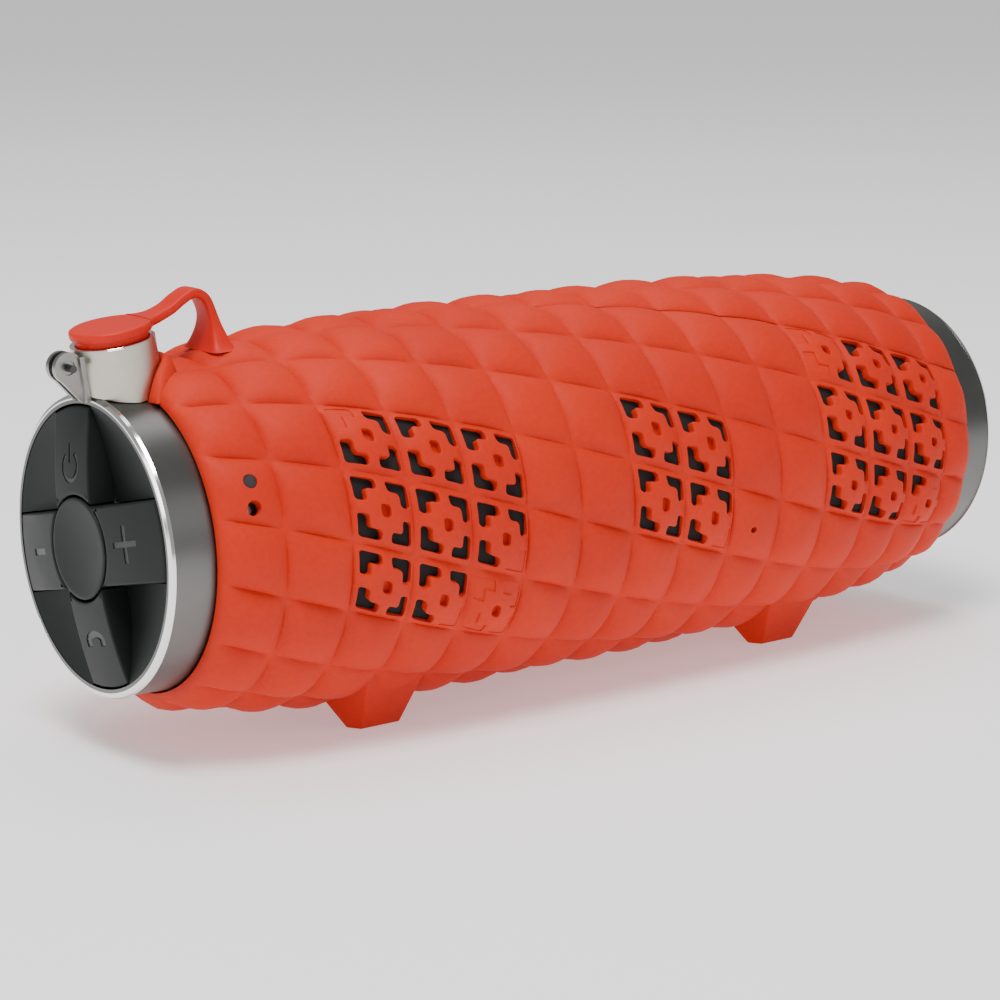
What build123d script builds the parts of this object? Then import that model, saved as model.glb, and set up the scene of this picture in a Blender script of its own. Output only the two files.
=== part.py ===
from build123d import *
import os
from math import cos, hypot, radians, sin, sqrt

# Portable bluetooth speaker: a quilted silicone barrel over a two-part housing, with a
# keypad in one end band and a capped socket collar on top of that band.
#
# The model is built about the barrel's own axis, which runs along X through the middle
# of the barrel, with the keypad at -X, the sound windows towards -Y and +Z up.  Every
# piece is moved to the row's frame when it is written: origin on the floor, under the
# middle of the whole object.  Angles round the barrel start at -Y and go up.

# ---------------------------------------------------------------- driving dimensions, mm
BARREL_DIAMETER = 85.0      # over the sleeve at its middle
BARREL_LENGTH = 230.0       # over both end bands
END_DROP = 7.2              # how much smaller the sleeve's radius is at its ends
SHOULDER_DROP = 1.16        # the part of that drop that goes with the square of the length
END_ROLL = 4.1              # from the sleeve's end radius down to the band
GROUND_CLEARANCE = 1.5      # belly above the floor
BAND_WIDTH = 10.0           # metal band that shows past the sleeve
BAND_WALL = 2.0
BAND_CHAMFER = 0.9
FLANGE_WALL = 2.0           # the band's inner flange
FLANGE_REACH = 7.2
SLEEVE_WALL = 2.6
HOUSING_WALL = 2.4
GAP = 0.1                   # between pieces that lie on each other
KEY_GAP = 0.3               # between pieces that move past each other

QUILT_COLUMNS = 14.603      # quilt cells along the sleeve
QUILT_SHIFT = 1.82          # the quilt's middle from the barrel's middle
QUILT_ROWS = 16             # quilt cells round the sleeve
QUILT_TWIST = -6.717        # degrees that a row climbs per column
QUILT_PHASE = 11.8          # angle of row line 0 at the quilt's middle
QUILT_MIDDLE = 6.5          # column line count at the quilt's middle
SLOT_LONG = 5.0             # an L-shaped sound slot along the barrel
SLOT_TALL = 5.3             # and round it
SLOT_LIMB = 2.4
SLOT_BAR = 2.2              # bar between the slots of neighbouring columns
SLOT_ROW_BAR = 3.0          # and of neighbouring rows
HOLE_DIAMETER = 3.0         # light and microphone holes
PIN_HOLE_DIAMETER = 1.5

DRIVER_DIAMETER = 50.0
DRIVER_OPENING = 24.6       # slots inside this radius are cut through
DRIVER_SEAT_WALL = 2.0
DRIVER_FLANGE = 1.5
DRIVER_DEPTH = 21.0
RETAINING_WALL = 1.5
CONE_INSET = 7.0             # cone's rim inside the driver's rim
COIL_RADIUS = 6.5
MAGNET_RADIUS = 15.0
RADIATOR_DIAMETER = 42.0
RADIATOR_OPENING = 20.0
CLOTH_WALL = 0.5

CENTRE_KEY_DIAMETER = 21.0
ARM_WIDTHS = (14.0, 16.4)   # upright arms, level arms
KEYPAD_TURN = 12.5          # the cross is turned with the windows
KEYPAD_RISE = 3.6           # the cross's dome above the band's face
KEY_TRAVEL = 0.5
KEY_HEIGHT = 3.2            # keys behind the band's face
BOWL_DEPTH = 2.2
DISH_FLOOR = 0.9
PLUNGER_DIAMETER = 4.0
SWITCH_HEIGHT = 1.5
BOARD_WALL = 1.2

COLLAR_DIAMETER = 17.3
COLLAR_WALL = 1.05
COLLAR_HEIGHT = 10.3
COLLAR_TILT = 9.0           # leans towards the keypad end
COLLAR_SETBACK = 7.0        # collar's middle behind the band's face
COLLAR_RISE = 5.4           # collar's middle above the band
CAP_DIAMETER = 16.9
CAP_WALL = 2.0
CAP_NECK = 1.3              # plug that shows between collar and cap
PLUG_DEPTH = 3.55
PLUG_TAPER = 0.5
PLUG_WALL = 1.5
STRAP_WIDTH = 5.7
STRAP_WALL = 1.9
LUG_RADIUS = 3.1
LUG_REACH = 11.64           # pin from the collar's axis
LUG_RISE = 2.55
LUG_WALL = 1.2
LUG_GAP = 1.4
PIN_DIAMETER = 1.5
PIN_PROUD = 2.0
JACK_BORE = 3.6
JACK_DIAMETER = 5.6
JACK_DEPTH = 14.0
USB_WIDTH = 7.6
USB_HEIGHT = 2.9
WELL_TOP = 1.2              # socket faces above the collar's middle

CELL_DIAMETER = 18.4        # rechargeable cells
CELL_LENGTH = 65.0
CELL_SPACING = 20.0
BOARD_LENGTH = 96.0
BOARD_HEIGHT = 56.0
FOOT_X = 57.4
FOOT_LENGTH = 10.0
FOOT_INSIDE = 14.5          # foot's tread, from the middle plane
FOOT_OUTSIDE = 17.5

# ------------------------------------------------------------------------ derived values
BARREL_RADIUS = BARREL_DIAMETER / 2
FACE_X = BARREL_LENGTH / 2
SLEEVE_END = FACE_X - BAND_WIDTH
BAND_RADIUS = BARREL_RADIUS - END_DROP - END_ROLL
BAND_BORE = BAND_RADIUS - BAND_WALL
AXIS_Z = BARREL_RADIUS + GROUND_CLEARANCE
QUILT_PITCH = 2 * SLEEVE_END / QUILT_COLUMNS
ROW_ANGLE = 360 / QUILT_ROWS
HOUSING_INSET = SLEEVE_WALL + GAP
HOUSING_END = SLEEVE_END - HOUSING_INSET
INNER_INSET = HOUSING_INSET + HOUSING_WALL
FLANGE_FRONT = HOUSING_END + GAP + FLANGE_WALL
COLLAR_X = -(FACE_X - COLLAR_SETBACK)
COLLAR_Z = BAND_RADIUS + COLLAR_RISE
TILT = radians(COLLAR_TILT)
LUG_TIP_X = COLLAR_X - LUG_REACH * cos(TILT) - LUG_RISE * sin(TILT) - LUG_RADIUS
ROW_SHIFT_X = -(LUG_TIP_X + FACE_X) / 2

# Sound windows: first column line, first row line, cells each way, and where the
# opening behind them is centred from the window's middle (along X, degrees up).
WINDOWS = {
    "left": (1, 0, 3, -3.5, 6.8, DRIVER_OPENING),
    "middle": (6, -1, 2, -2.0, 4.1, RADIATOR_OPENING),
    "right": (10, -3, 3, 0.0, 1.5, DRIVER_OPENING),
}


# ------------------------------------------------------------------------------- helpers
def outer_radius(x):
    """Radius of the sleeve's outside at x."""
    t = (x / SLEEVE_END) ** 2
    return BARREL_RADIUS - SHOULDER_DROP * t - (END_DROP - SHOULDER_DROP) * t * t


def barrel(inset):
    """Solid barrel whose skin lies inset inside the sleeve's outside."""
    end = SLEEVE_END - inset
    shoulder = end - END_ROLL
    stations = [shoulder * k / 4 for k in range(-4, 5)]
    top = [(x, outer_radius(x) - inset) for x in stations]
    lip = BAND_RADIUS + 0.6 - inset / 4
    corner = outer_radius(end) - inset
    outline = [
        Spline(*top),
        Bezier(top[-1], (end, corner), (end, lip)),
        Polyline((end, lip), (end, 0), (-end, 0), (-end, lip)),
        Bezier((-end, lip), (-end, corner), top[0]),
    ]
    return revolve(Plane.XZ * make_face(outline), Axis.X)


def disc_x(x_from, x_to, radius, bore=0.0):
    """Round plate or ring about the barrel's axis between two places along X."""
    plane = Plane(origin=(x_from, 0, 0), x_dir=(0, 1, 0), z_dir=(1, 0, 0))
    ring = Circle(radius)
    if bore > 0:
        ring -= Circle(bore)
    return extrude(plane * ring, x_to - x_from)


def block(x_from, x_to, y_from, y_to, z_from, z_to):
    """Box between two corners."""
    size = (x_to - x_from, y_to - y_from, z_to - z_from)
    middle = ((x_from + x_to) / 2, (y_from + y_to) / 2, (z_from + z_to) / 2)
    return Pos(*middle) * Box(*size)


def radial(x, angle):
    """Plane on the axis, facing out of the barrel at an angle above -Y."""
    a = radians(angle)
    return Plane(origin=(x, 0, 0), x_dir=(1, 0, 0), z_dir=(0, -cos(a), sin(a)))


def tube(low, high, radius, bore=0.0):
    """Upright cylinder or ring between two heights of its own plane."""
    ring = Circle(radius)
    if bore > 0:
        ring -= Circle(bore)
    return extrude(Plane.XY.offset(low) * ring, high - low)


def quilt_x(column):
    return QUILT_SHIFT + (column - QUILT_MIDDLE) * QUILT_PITCH


def quilt_angle(column, row):
    return QUILT_PHASE + QUILT_TWIST * (column - QUILT_MIDDLE) - ROW_ANGLE * row


def window_centre(name):
    """Place along X and angle of the opening behind a sound window."""
    column, row, count, shift, turn, _ = WINDOWS[name]
    half = count / 2
    return quilt_x(column + half) + shift, quilt_angle(column + half, row + half) + turn


# The collar's frame: Z out of the collar, X towards the barrel's middle.
COLLAR = Plane(
    origin=(COLLAR_X, 0, COLLAR_Z),
    x_dir=(cos(TILT), 0, sin(TILT)),
    z_dir=(-sin(TILT), 0, cos(TILT)),
)
WELL_HALF_Y = 6.9
WELL_HALF_X = JACK_DIAMETER / 2
WELL_BOTTOM = WELL_TOP - JACK_DEPTH - 0.4
COLLAR_RADIUS = COLLAR_DIAMETER / 2
COLLAR_BORE = COLLAR_RADIUS - COLLAR_WALL
COLLAR_TOP = COLLAR_HEIGHT / 2
COLLAR_FOOT = -COLLAR_TOP - 1.4


def port_passage(slack):
    """Room for the sockets on their way down through the band."""
    return COLLAR * block(-WELL_HALF_X - slack, WELL_HALF_X + 1.6 + slack, -WELL_HALF_Y - slack,
                          WELL_HALF_Y + slack, WELL_BOTTOM - slack, 0)


# -------------------------------------------------------------------- sleeve and housing
def slot_cutter(x, angle, turn_x, turn_y):
    """One L-shaped sound slot, its corner towards the cell's corner (turn_x, turn_y)."""
    far_x = SLOT_LONG / 2
    far_y = SLOT_TALL / 2
    near_x = far_x - SLOT_LIMB
    near_y = far_y - SLOT_LIMB
    corners = [
        (-far_x, far_y), (far_x, far_y), (far_x, -far_y),
        (near_x, -far_y), (near_x, near_y), (-far_x, near_y),
    ]
    shape = make_face(Polyline(*[(turn_x * u, turn_y * v) for u, v in corners], close=True))
    return extrude(radial(x, angle).offset(BARREL_RADIUS / 2) * shape, BARREL_RADIUS)


def window_slots(name):
    """All through slots of one sound window."""
    column, row, count, _, _, opening = WINDOWS[name]
    centre_x, centre_angle = window_centre(name)
    cutters = []
    for i in range(count):
        for j in range(count):
            x = quilt_x(column + i + 0.5)
            angle = quilt_angle(column + i + 0.5, row + j + 0.5)
            arc = radians(1) * outer_radius(x)
            reach_x = QUILT_PITCH / 2 - (SLOT_BAR + SLOT_LONG) / 2
            reach_y = ROW_ANGLE * arc / 2 - (SLOT_ROW_BAR + SLOT_TALL) / 2
            for sx in (-1, 1):
                for sy in (-1, 1):
                    slot_x = x + sx * reach_x
                    climb = QUILT_TWIST * sx * reach_x / QUILT_PITCH
                    slot_angle = angle + climb + (sy * reach_y) / arc
                    away = hypot(slot_x - centre_x, (slot_angle - centre_angle) * arc)
                    if away < opening:
                        cutters.append(slot_cutter(slot_x, slot_angle, sx, sy))
    return cutters


def foot(x, side):
    """Wedge foot that widens up into the sleeve."""
    spread = 6.0
    rise = 12.0
    tread = Pos(x, side * (FOOT_INSIDE + FOOT_OUTSIDE) / 2, -AXIS_Z)
    tread = tread * Rectangle(FOOT_LENGTH, FOOT_OUTSIDE - FOOT_INSIDE)
    root_inside = FOOT_INSIDE - 12.0
    root_outside = FOOT_OUTSIDE + 7.5
    root = Pos(x, side * (root_inside + root_outside) / 2, rise - AXIS_Z)
    root = root * Rectangle(FOOT_LENGTH + 2 * spread, root_outside - root_inside)
    return loft([tread, root])


LIGHT_INSET = 7.3            # from the sleeve's end, which both holes keep
MICROPHONE_INSET = 7.1
# Each small hole: place along the barrel, degrees above level, diameter.
HOLES = {
    "light": (LIGHT_INSET - SLEEVE_END, 26.9, HOLE_DIAMETER),
    "microphone": (MICROPHONE_INSET - SLEEVE_END, 18.5, HOLE_DIAMETER),
    "vent": (28.5, -12.3, PIN_HOLE_DIAMETER),
}


def hole_x(name):
    return HOLES[name][0]


def round_hole(name, radius, low, high):
    return radial(hole_x(name), HOLES[name][1]) * tube(low, high, radius)


def collar_relief(slack):
    """Room for the collar where it stands in the sleeve's and housing's shoulder."""
    return COLLAR * tube(COLLAR_FOOT - slack, COLLAR_TOP + 30, COLLAR_RADIUS + slack)


def sleeve():
    skin = barrel(0)
    for x in (-FOOT_X, FOOT_X):
        for side in (-1, 1):
            skin += foot(x, side)
    skin -= barrel(SLEEVE_WALL)
    skin -= disc_x(-FACE_X, FACE_X, BAND_RADIUS + GAP)
    skin -= collar_relief(2 * GAP)
    for name in WINDOWS:
        skin -= window_slots(name)
    for name, (_, _, diameter) in HOLES.items():
        skin -= round_hole(name, diameter / 2, BARREL_RADIUS / 2, BARREL_RADIUS + 5)
    return skin


def seat_distance(x, radius):
    """Distance from the axis of a flat seat whose retaining ring stays under the cloth."""
    under_cloth = outer_radius(x) - HOUSING_INSET - CLOTH_WALL - 0.5
    stack = DRIVER_SEAT_WALL + DRIVER_FLANGE + RETAINING_WALL
    return sqrt(under_cloth ** 2 - radius ** 2) - stack


DRIVER_RADIUS = DRIVER_DIAMETER / 2
CONE_RADIUS = DRIVER_RADIUS - CONE_INSET
RADIATOR_RADIUS = RADIATOR_DIAMETER / 2
SEAT_RIM = 2.2


def seat(name):
    """Frame and distance of the flat seat behind a sound window."""
    x, angle = window_centre(name)
    radius = RADIATOR_RADIUS if name == "middle" else DRIVER_RADIUS
    return radial(x, angle), seat_distance(x, radius), radius


BOSS_Z = BOARD_HEIGHT / 2 - 3.0
BOSS_X = BOARD_LENGTH / 2 - 4.0
BOSS_RADIUS = 2.6
SCREW_RADIUS = 1.0
BOARD_Y = 1.0
JOIN_BOSSES = [(x, z) for x in (-85.0, -22.0, 36.0) for z in (-1, 1)]


def join_boss(x, z_side):
    """Where a housing screw crosses the split, just inside the wall."""
    return x, z_side * (outer_radius(x) - INNER_INSET - BOSS_RADIUS + 0.6)


def shell_half(side):
    """One half of the housing: side -1 is the front with the windows."""
    shell = barrel(HOUSING_INSET) - barrel(INNER_INSET)
    end_wall_bore = BAND_BORE - FLANGE_REACH
    shell -= disc_x(-FACE_X, FACE_X, end_wall_bore)
    skin = barrel(HOUSING_INSET)
    if side < 0:
        for name in WINDOWS:
            frame, distance, radius = seat(name)
            boss = frame * tube(distance, BARREL_RADIUS, radius + SEAT_RIM)
            shell += boss & skin
        for name in WINDOWS:
            frame, distance, radius = seat(name)
            shell -= frame * tube(distance + DRIVER_SEAT_WALL, BARREL_RADIUS, radius + GAP)
            shell -= frame * tube(0, BARREL_RADIUS, radius - 3.0)
            shell -= cloth_patch(name, GAP)
    for x, z_side in JOIN_BOSSES:
        bx, bz = join_boss(x, z_side)
        stub = Plane.XZ * (Pos(bx, bz) * Circle(BOSS_RADIUS))
        post = extrude(stub, 12.0 * -side) & skin
        shell += post
    half = block(-FACE_X, FACE_X, min(0, side * 60), max(0, side * 60), -60, 60)
    shell &= half
    if side > 0:
        for x in (-BOSS_X, BOSS_X):
            for z in (-BOSS_Z, BOSS_Z):
                stub = Plane.XZ.offset(-(BOARD_Y + BOARD_WALL)) * (Pos(x, z) * Circle(BOSS_RADIUS))
                post = extrude(stub, -60) & skin
                shell += post - (Plane.XZ * (Pos(x, z) * Cylinder(SCREW_RADIUS, 20)))
    for x, z_side in JOIN_BOSSES:
        bx, bz = join_boss(x, z_side)
        shell -= Plane.XZ * (Pos(bx, bz) * Cylinder(SCREW_RADIUS, 18))
    for end in (-1, 1):
        for y, z in screw_ring(side):
            drill = Plane(origin=(end * (HOUSING_END + 1), y, z), x_dir=(0, 1, 0), z_dir=(-end, 0, 0))
            shell -= drill * tube(0, 8, SCREW_RADIUS)
    shell -= collar_relief(2 * GAP)
    shell -= port_passage(GAP)
    for name in ("light", "microphone"):
        shell -= round_hole(name, HOLE_DIAMETER / 2 + GAP, 15, BARREL_RADIUS + 5)
    return shell


def cloth_patch(name, slack):
    """Where the sound cloth lies, let into the housing's outside."""
    frame, _, radius = seat(name)
    plug = frame * tube(BARREL_RADIUS / 2, BARREL_RADIUS, radius + SEAT_RIM + slack)
    return plug - barrel(HOUSING_INSET + CLOTH_WALL)


def sound_cloth(name):
    return cloth_patch(name, 0) & barrel(HOUSING_INSET)


def screw_ring(side):
    """Places of the band screws on one side of the split, as (y, z)."""
    reach = BAND_BORE - FLANGE_REACH / 2
    return [(side * reach * cos(radians(a)), reach * sin(radians(a))) for a in (-45, 45)]


def screw(shank, head_radius=1.5, head_height=1.1):
    """Screw with its shank down -Z and its head on top of the origin."""
    body = tube(-shank, 0, SCREW_RADIUS - 0.03)
    head = tube(0, head_height, head_radius)
    drive = extrude(Plane.XY.offset(head_height - 0.6) * RegularPolygon(0.7, 6), 1.0)
    return body + head - drive


def band_screws(end):
    """Four screws through the band's flange into the housing's end wall."""
    screws = []
    for side in (-1, 1):
        for y, z in screw_ring(side):
            seat_frame = Plane(origin=(end * FLANGE_FRONT, y, z), x_dir=(0, 1, 0), z_dir=(end, 0, 0))
            screws.append(seat_frame * screw(6.0))
    return screws


HOUSING_SCREW_Y = 9.0


def housing_screws():
    """Six screws that pull the two housing halves together from the back."""
    screws = []
    for x, z_side in JOIN_BOSSES:
        bx, bz = join_boss(x, z_side)
        frame = Plane(origin=(bx, HOUSING_SCREW_Y, bz), x_dir=(1, 0, 0), z_dir=(0, 1, 0))
        screws.append(frame * screw(16.0))
    return screws


def housing_back():
    """Rear half, counterbored for the screws that join the halves."""
    shell = shell_half(1)
    for x, z_side in JOIN_BOSSES:
        bx, bz = join_boss(x, z_side)
        frame = Plane(origin=(bx, HOUSING_SCREW_Y, bz), x_dir=(1, 0, 0), z_dir=(0, 1, 0))
        shell -= frame * tube(0, 40, 1.5 + GAP)
    return shell


# --------------------------------------------------------------------------- end pieces
KEY_BACK = FACE_X - KEY_HEIGHT
POCKET_FLOOR = KEY_BACK - KEY_TRAVEL - GAP
DISH_BACK = POCKET_FLOOR - DISH_FLOOR
DISH_RADIUS = BAND_BORE - GAP
KEY_REACH = 19.0            # arm switches from the axis
SWITCH_TOP = DISH_BACK - 0.6
BOARD_FRONT = SWITCH_TOP - SWITCH_HEIGHT
BOARD_BACK = BOARD_FRONT - BOARD_WALL
PLATE_BACK = BOARD_BACK - 1.2
PLUNGER_END = SWITCH_TOP + KEY_TRAVEL + 0.05
CENTRE_RADIUS = CENTRE_KEY_DIAMETER / 2
CENTRE_GAP = 0.5
DOME_RADIUS = (DISH_RADIUS ** 2 + KEYPAD_RISE ** 2) / (2 * KEYPAD_RISE)
ARMS = {"plus_key": 0, "power_key": 90, "minus_key": 180, "call_key": 270}


def band(end):
    """Metal end band with a bright chamfer at its rim and a flange inside."""
    inner = BAND_BORE - FLANGE_REACH
    back = HOUSING_END + GAP
    outline = Polyline(
        (back, inner), (back, BAND_RADIUS), (SLEEVE_END, BAND_RADIUS),
        (FACE_X - BAND_CHAMFER, BAND_RADIUS - 0.3),
        (FACE_X, BAND_RADIUS - 0.3 - 0.6), (FACE_X, BAND_BORE), (FLANGE_FRONT, BAND_BORE),
        (FLANGE_FRONT, inner), (back, inner),
    )
    ring = revolve(Plane.XZ * make_face(outline), Axis.X)
    for side in (-1, 1):
        for y, z in screw_ring(side):
            drill = Plane(origin=(0, y, z), x_dir=(0, 1, 0), z_dir=(1, 0, 0))
            ring -= drill * tube(SLEEVE_END - 8, SLEEVE_END + 4, SCREW_RADIUS + GAP)
    if end < 0:
        ring = mirror(ring, Plane.YZ)
        ring -= port_passage(GAP)
    return ring


def end_frame(end):
    """Plastic frame inside a band that backs the keypad or the end pad."""
    ring = disc_x(FLANGE_FRONT, DISH_BACK, DISH_RADIUS, DISH_RADIUS - 1.5)
    plate = disc_x(PLATE_BACK, BOARD_BACK, DISH_RADIUS - 1.4, 3.0)
    frame = ring + plate
    frame -= block(0, FACE_X, -0.2, 2.0, -15, -1)
    for y, z in keypad_screw_places():
        drill = Plane(origin=(0, y, z), x_dir=(0, 1, 0), z_dir=(1, 0, 0))
        frame -= drill * tube(PLATE_BACK - 5, BOARD_BACK + 1, SCREW_RADIUS)
    if end < 0:
        frame = mirror(frame, Plane.YZ)
        frame -= port_passage(0.4)
    return frame


def keypad_place(reach, angle):
    """(y, z) of a point of the keypad, at an angle in the turned cross."""
    a = radians(angle + KEYPAD_TURN)
    return -reach * cos(a), reach * sin(a)


def keypad_screw_places():
    return [keypad_place(KEY_REACH - 2.0, a) for a in (45, 135, 225, 315)]


def keypad_board():
    board = disc_x(-BOARD_FRONT, -BOARD_BACK, KEY_REACH + 3.5)
    for y, z in keypad_screw_places():
        board -= block(-FACE_X, 0, y - 1.1, y + 1.1, z - 1.1, z + 1.1)
    return board


def keypad_screws():
    screws = []
    for y, z in keypad_screw_places():
        seat_frame = Plane(origin=(-BOARD_FRONT, y, z), x_dir=(0, 1, 0), z_dir=(-1, 0, 0))
        screws.append(seat_frame * screw(2.3, 1.4, 0.9))
    return screws


def key_places():
    return [(0, 0)] + [keypad_place(KEY_REACH, a) for a in ARMS.values()]


def tact_switches():
    """Five small switches, one under each key."""
    switches = []
    for y, z in key_places():
        body = block(-BOARD_FRONT - 1.1, -BOARD_FRONT, y - 1.9, y + 1.9, z - 1.9, z + 1.9)
        button = Pos(0, y, z) * disc_x(-SWITCH_TOP, -BOARD_FRONT - 1.0, 1.0)
        switches.append(body + button)
    return switches


def plunger(y, z):
    return Pos(0, y, z) * disc_x(-KEY_BACK - 0.2, -PLUNGER_END, PLUNGER_DIAMETER / 2)


def dome():
    """Shallow ball that the whole cross is shaped by."""
    return Pos(DOME_RADIUS - FACE_X - KEYPAD_RISE, 0, 0) * Sphere(DOME_RADIUS)


def arm_bar(angle, slack, x_from, x_to):
    """Straight bar from the axis to the band, along one arm of the cross."""
    half = ARM_WIDTHS[0 if angle % 180 else 1] / 2 + slack
    bar = block(x_from, x_to, -BARREL_RADIUS, 0, -half, half)
    return Rot(-(angle + KEYPAD_TURN), 0, 0) * bar


def arm_key(name):
    """One arm of the keypad's cross, from the centre key out to the band."""
    angle = ARMS[name]
    arm = arm_bar(angle, 0, -FACE_X - KEYPAD_RISE, -KEY_BACK) & dome()
    arm &= disc_x(-FACE_X - KEYPAD_RISE, -KEY_BACK, DISH_RADIUS - KEY_GAP, CENTRE_RADIUS + CENTRE_GAP)
    return arm + plunger(*keypad_place(KEY_REACH, angle))


def centre_key():
    """Round centre key with a slightly hollow face."""
    dish = 0.7
    rim = CENTRE_RADIUS - 0.4
    front = -FACE_X - KEYPAD_RISE + CENTRE_RADIUS ** 2 / (2 * DOME_RADIUS)
    bend = (rim ** 2 + dish ** 2) / (2 * dish)
    halfway = bend - sqrt(bend ** 2 - (rim / 2) ** 2)
    outline = [
        Polyline((front + dish, 0), (-KEY_BACK, 0), (-KEY_BACK, CENTRE_RADIUS),
                 (front + 0.4, CENTRE_RADIUS), (front, rim)),
        ThreePointArc((front, rim), (front + dish - halfway, rim / 2), (front + dish, 0)),
    ]
    return revolve(Plane.XZ * make_face(outline), Axis.X) + plunger(0, 0)


def keypad_dish():
    """Fixed rubber face: a shallow bowl that shows between the arms."""
    rim = DISH_RADIUS - 0.6
    bowl_radius = (rim ** 2 + BOWL_DEPTH ** 2) / (2 * BOWL_DEPTH)
    halfway = bowl_radius - sqrt(bowl_radius ** 2 - (rim / 2) ** 2)
    bottom = -FACE_X + BOWL_DEPTH
    outline = [
        Polyline((bottom, 0), (-DISH_BACK, 0), (-DISH_BACK, DISH_RADIUS),
                 (-FACE_X, DISH_RADIUS), (-FACE_X, rim)),
        ThreePointArc((-FACE_X, rim), (bottom - halfway, rim / 2), (bottom, 0)),
    ]
    dish = revolve(Plane.XZ * make_face(outline), Axis.X)
    for angle in ARMS.values():
        dish -= arm_bar(angle, KEY_GAP, -FACE_X - 1, -POCKET_FLOOR)
    dish -= disc_x(-FACE_X - 1, -POCKET_FLOOR, CENTRE_RADIUS + CENTRE_GAP)
    for y, z in key_places():
        dish -= Pos(0, y, z) * disc_x(-POCKET_FLOOR - 1, -DISH_BACK + 1, PLUNGER_DIAMETER / 2 + KEY_GAP)
    return dish


def rear_pad():
    """Rubber pad that closes the far end, with two moulded rings."""
    front = FACE_X - 0.4
    pad = disc_x(DISH_BACK, front, DISH_RADIUS)
    for radius in (DISH_RADIUS - 6, DISH_RADIUS - 14):
        pad -= disc_x(front - 0.8, FACE_X, radius + 1.2, radius)
    return pad


# ------------------------------------------------------------------------------- sockets
PLUG_RADIUS = COLLAR_BORE - GAP
CAP_BASE = COLLAR_TOP + CAP_NECK
USB_Y = 2.75
JACK_Y = -3.95
INSERT_FOOT = -4.2


def local(shape):
    return COLLAR * shape


def port_collar():
    """Nickel collar, saddled onto the band."""
    collar = local(tube(COLLAR_FOOT, COLLAR_TOP, COLLAR_RADIUS, COLLAR_BORE))
    return collar - disc_x(-FACE_X - 5, -SLEEVE_END + 3, BAND_RADIUS + 0.02)


def port_insert():
    """Plastic insert that holds the two sockets in the collar."""
    insert = tube(INSERT_FOOT, WELL_TOP, COLLAR_BORE - GAP / 2)
    insert += block(-WELL_HALF_X, WELL_HALF_X, -WELL_HALF_Y, WELL_HALF_Y, WELL_BOTTOM, INSERT_FOOT)
    insert -= Pos(0, JACK_Y, 0) * tube(WELL_BOTTOM - 1, WELL_TOP + 1, JACK_DIAMETER / 2 + 0.02)
    insert -= block(-USB_HEIGHT / 2 - 0.02, USB_HEIGHT / 2 + 0.02, USB_Y - USB_WIDTH / 2 - 0.02,
                    USB_Y + USB_WIDTH / 2 + 0.02, WELL_TOP - 6.0, WELL_TOP + 1)
    return local(insert)


def charge_socket():
    """Micro-USB receptacle with its tongue."""
    shell = block(-USB_HEIGHT / 2, USB_HEIGHT / 2, USB_Y - USB_WIDTH / 2, USB_Y + USB_WIDTH / 2,
                  WELL_TOP - 5.9, WELL_TOP)
    shell -= block(-0.95, 0.95, USB_Y - 3.45, USB_Y + 3.45, WELL_TOP - 5.0, WELL_TOP + 1)
    shell += block(-0.3, 0.3, USB_Y - 2.0, USB_Y + 2.0, WELL_TOP - 5.5, WELL_TOP - 0.9)
    return local(shell)


def audio_socket():
    """3.5 mm jack socket."""
    body = tube(WELL_BOTTOM, WELL_TOP, JACK_DIAMETER / 2)
    body -= tube(WELL_TOP - JACK_DEPTH, WELL_TOP + 1, JACK_BORE / 2)
    return local(Pos(0, JACK_Y, 0) * body)


def port_board():
    return local(block(WELL_HALF_X + 0.1, WELL_HALF_X + 1.3, -6.0, 6.0, WELL_BOTTOM, INSERT_FOOT - 0.2))


def port_cap():
    """Soft cap: a flat disc over a short tapered hollow plug."""
    disc = tube(CAP_BASE, CAP_BASE + CAP_WALL, CAP_DIAMETER / 2)
    disc = fillet(disc.edges(), 0.5)
    neck = tube(COLLAR_TOP, CAP_BASE + 0.3, PLUG_RADIUS)
    plug_middle = COLLAR_TOP - PLUG_DEPTH / 2
    taper = Pos(0, 0, plug_middle) * Cone(PLUG_RADIUS - PLUG_TAPER, PLUG_RADIUS, PLUG_DEPTH)
    hollow = tube(COLLAR_TOP - PLUG_DEPTH - 1, CAP_BASE - 0.2, PLUG_RADIUS - PLUG_TAPER - PLUG_WALL)
    return local(disc + neck + taper - hollow)


# The strap's centre line in the collar's frame, from the cap's rim to its root.
STRAP_POINTS = [(7.4, 7.45), (12.0, 8.2), (18.6, 11.3), (22.9, 8.6), (22.0, -3.0)]
STRAP_RADII = [6.0, 3.0, 3.4]


def cap_strap():
    """Strap that ties the cap to the sleeve, arched as it was moulded."""
    path = Plane.XZ * FilletPolyline(*STRAP_POINTS, radius=STRAP_RADII)
    start = Plane(origin=path @ 0, x_dir=(0, 1, 0), z_dir=path % 0)
    strap = local(sweep(start * Rectangle(STRAP_WIDTH, STRAP_WALL), path))
    strap -= barrel(-0.03)
    return strap - local(tube(0, 20, CAP_DIAMETER / 2 + 0.03))


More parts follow.
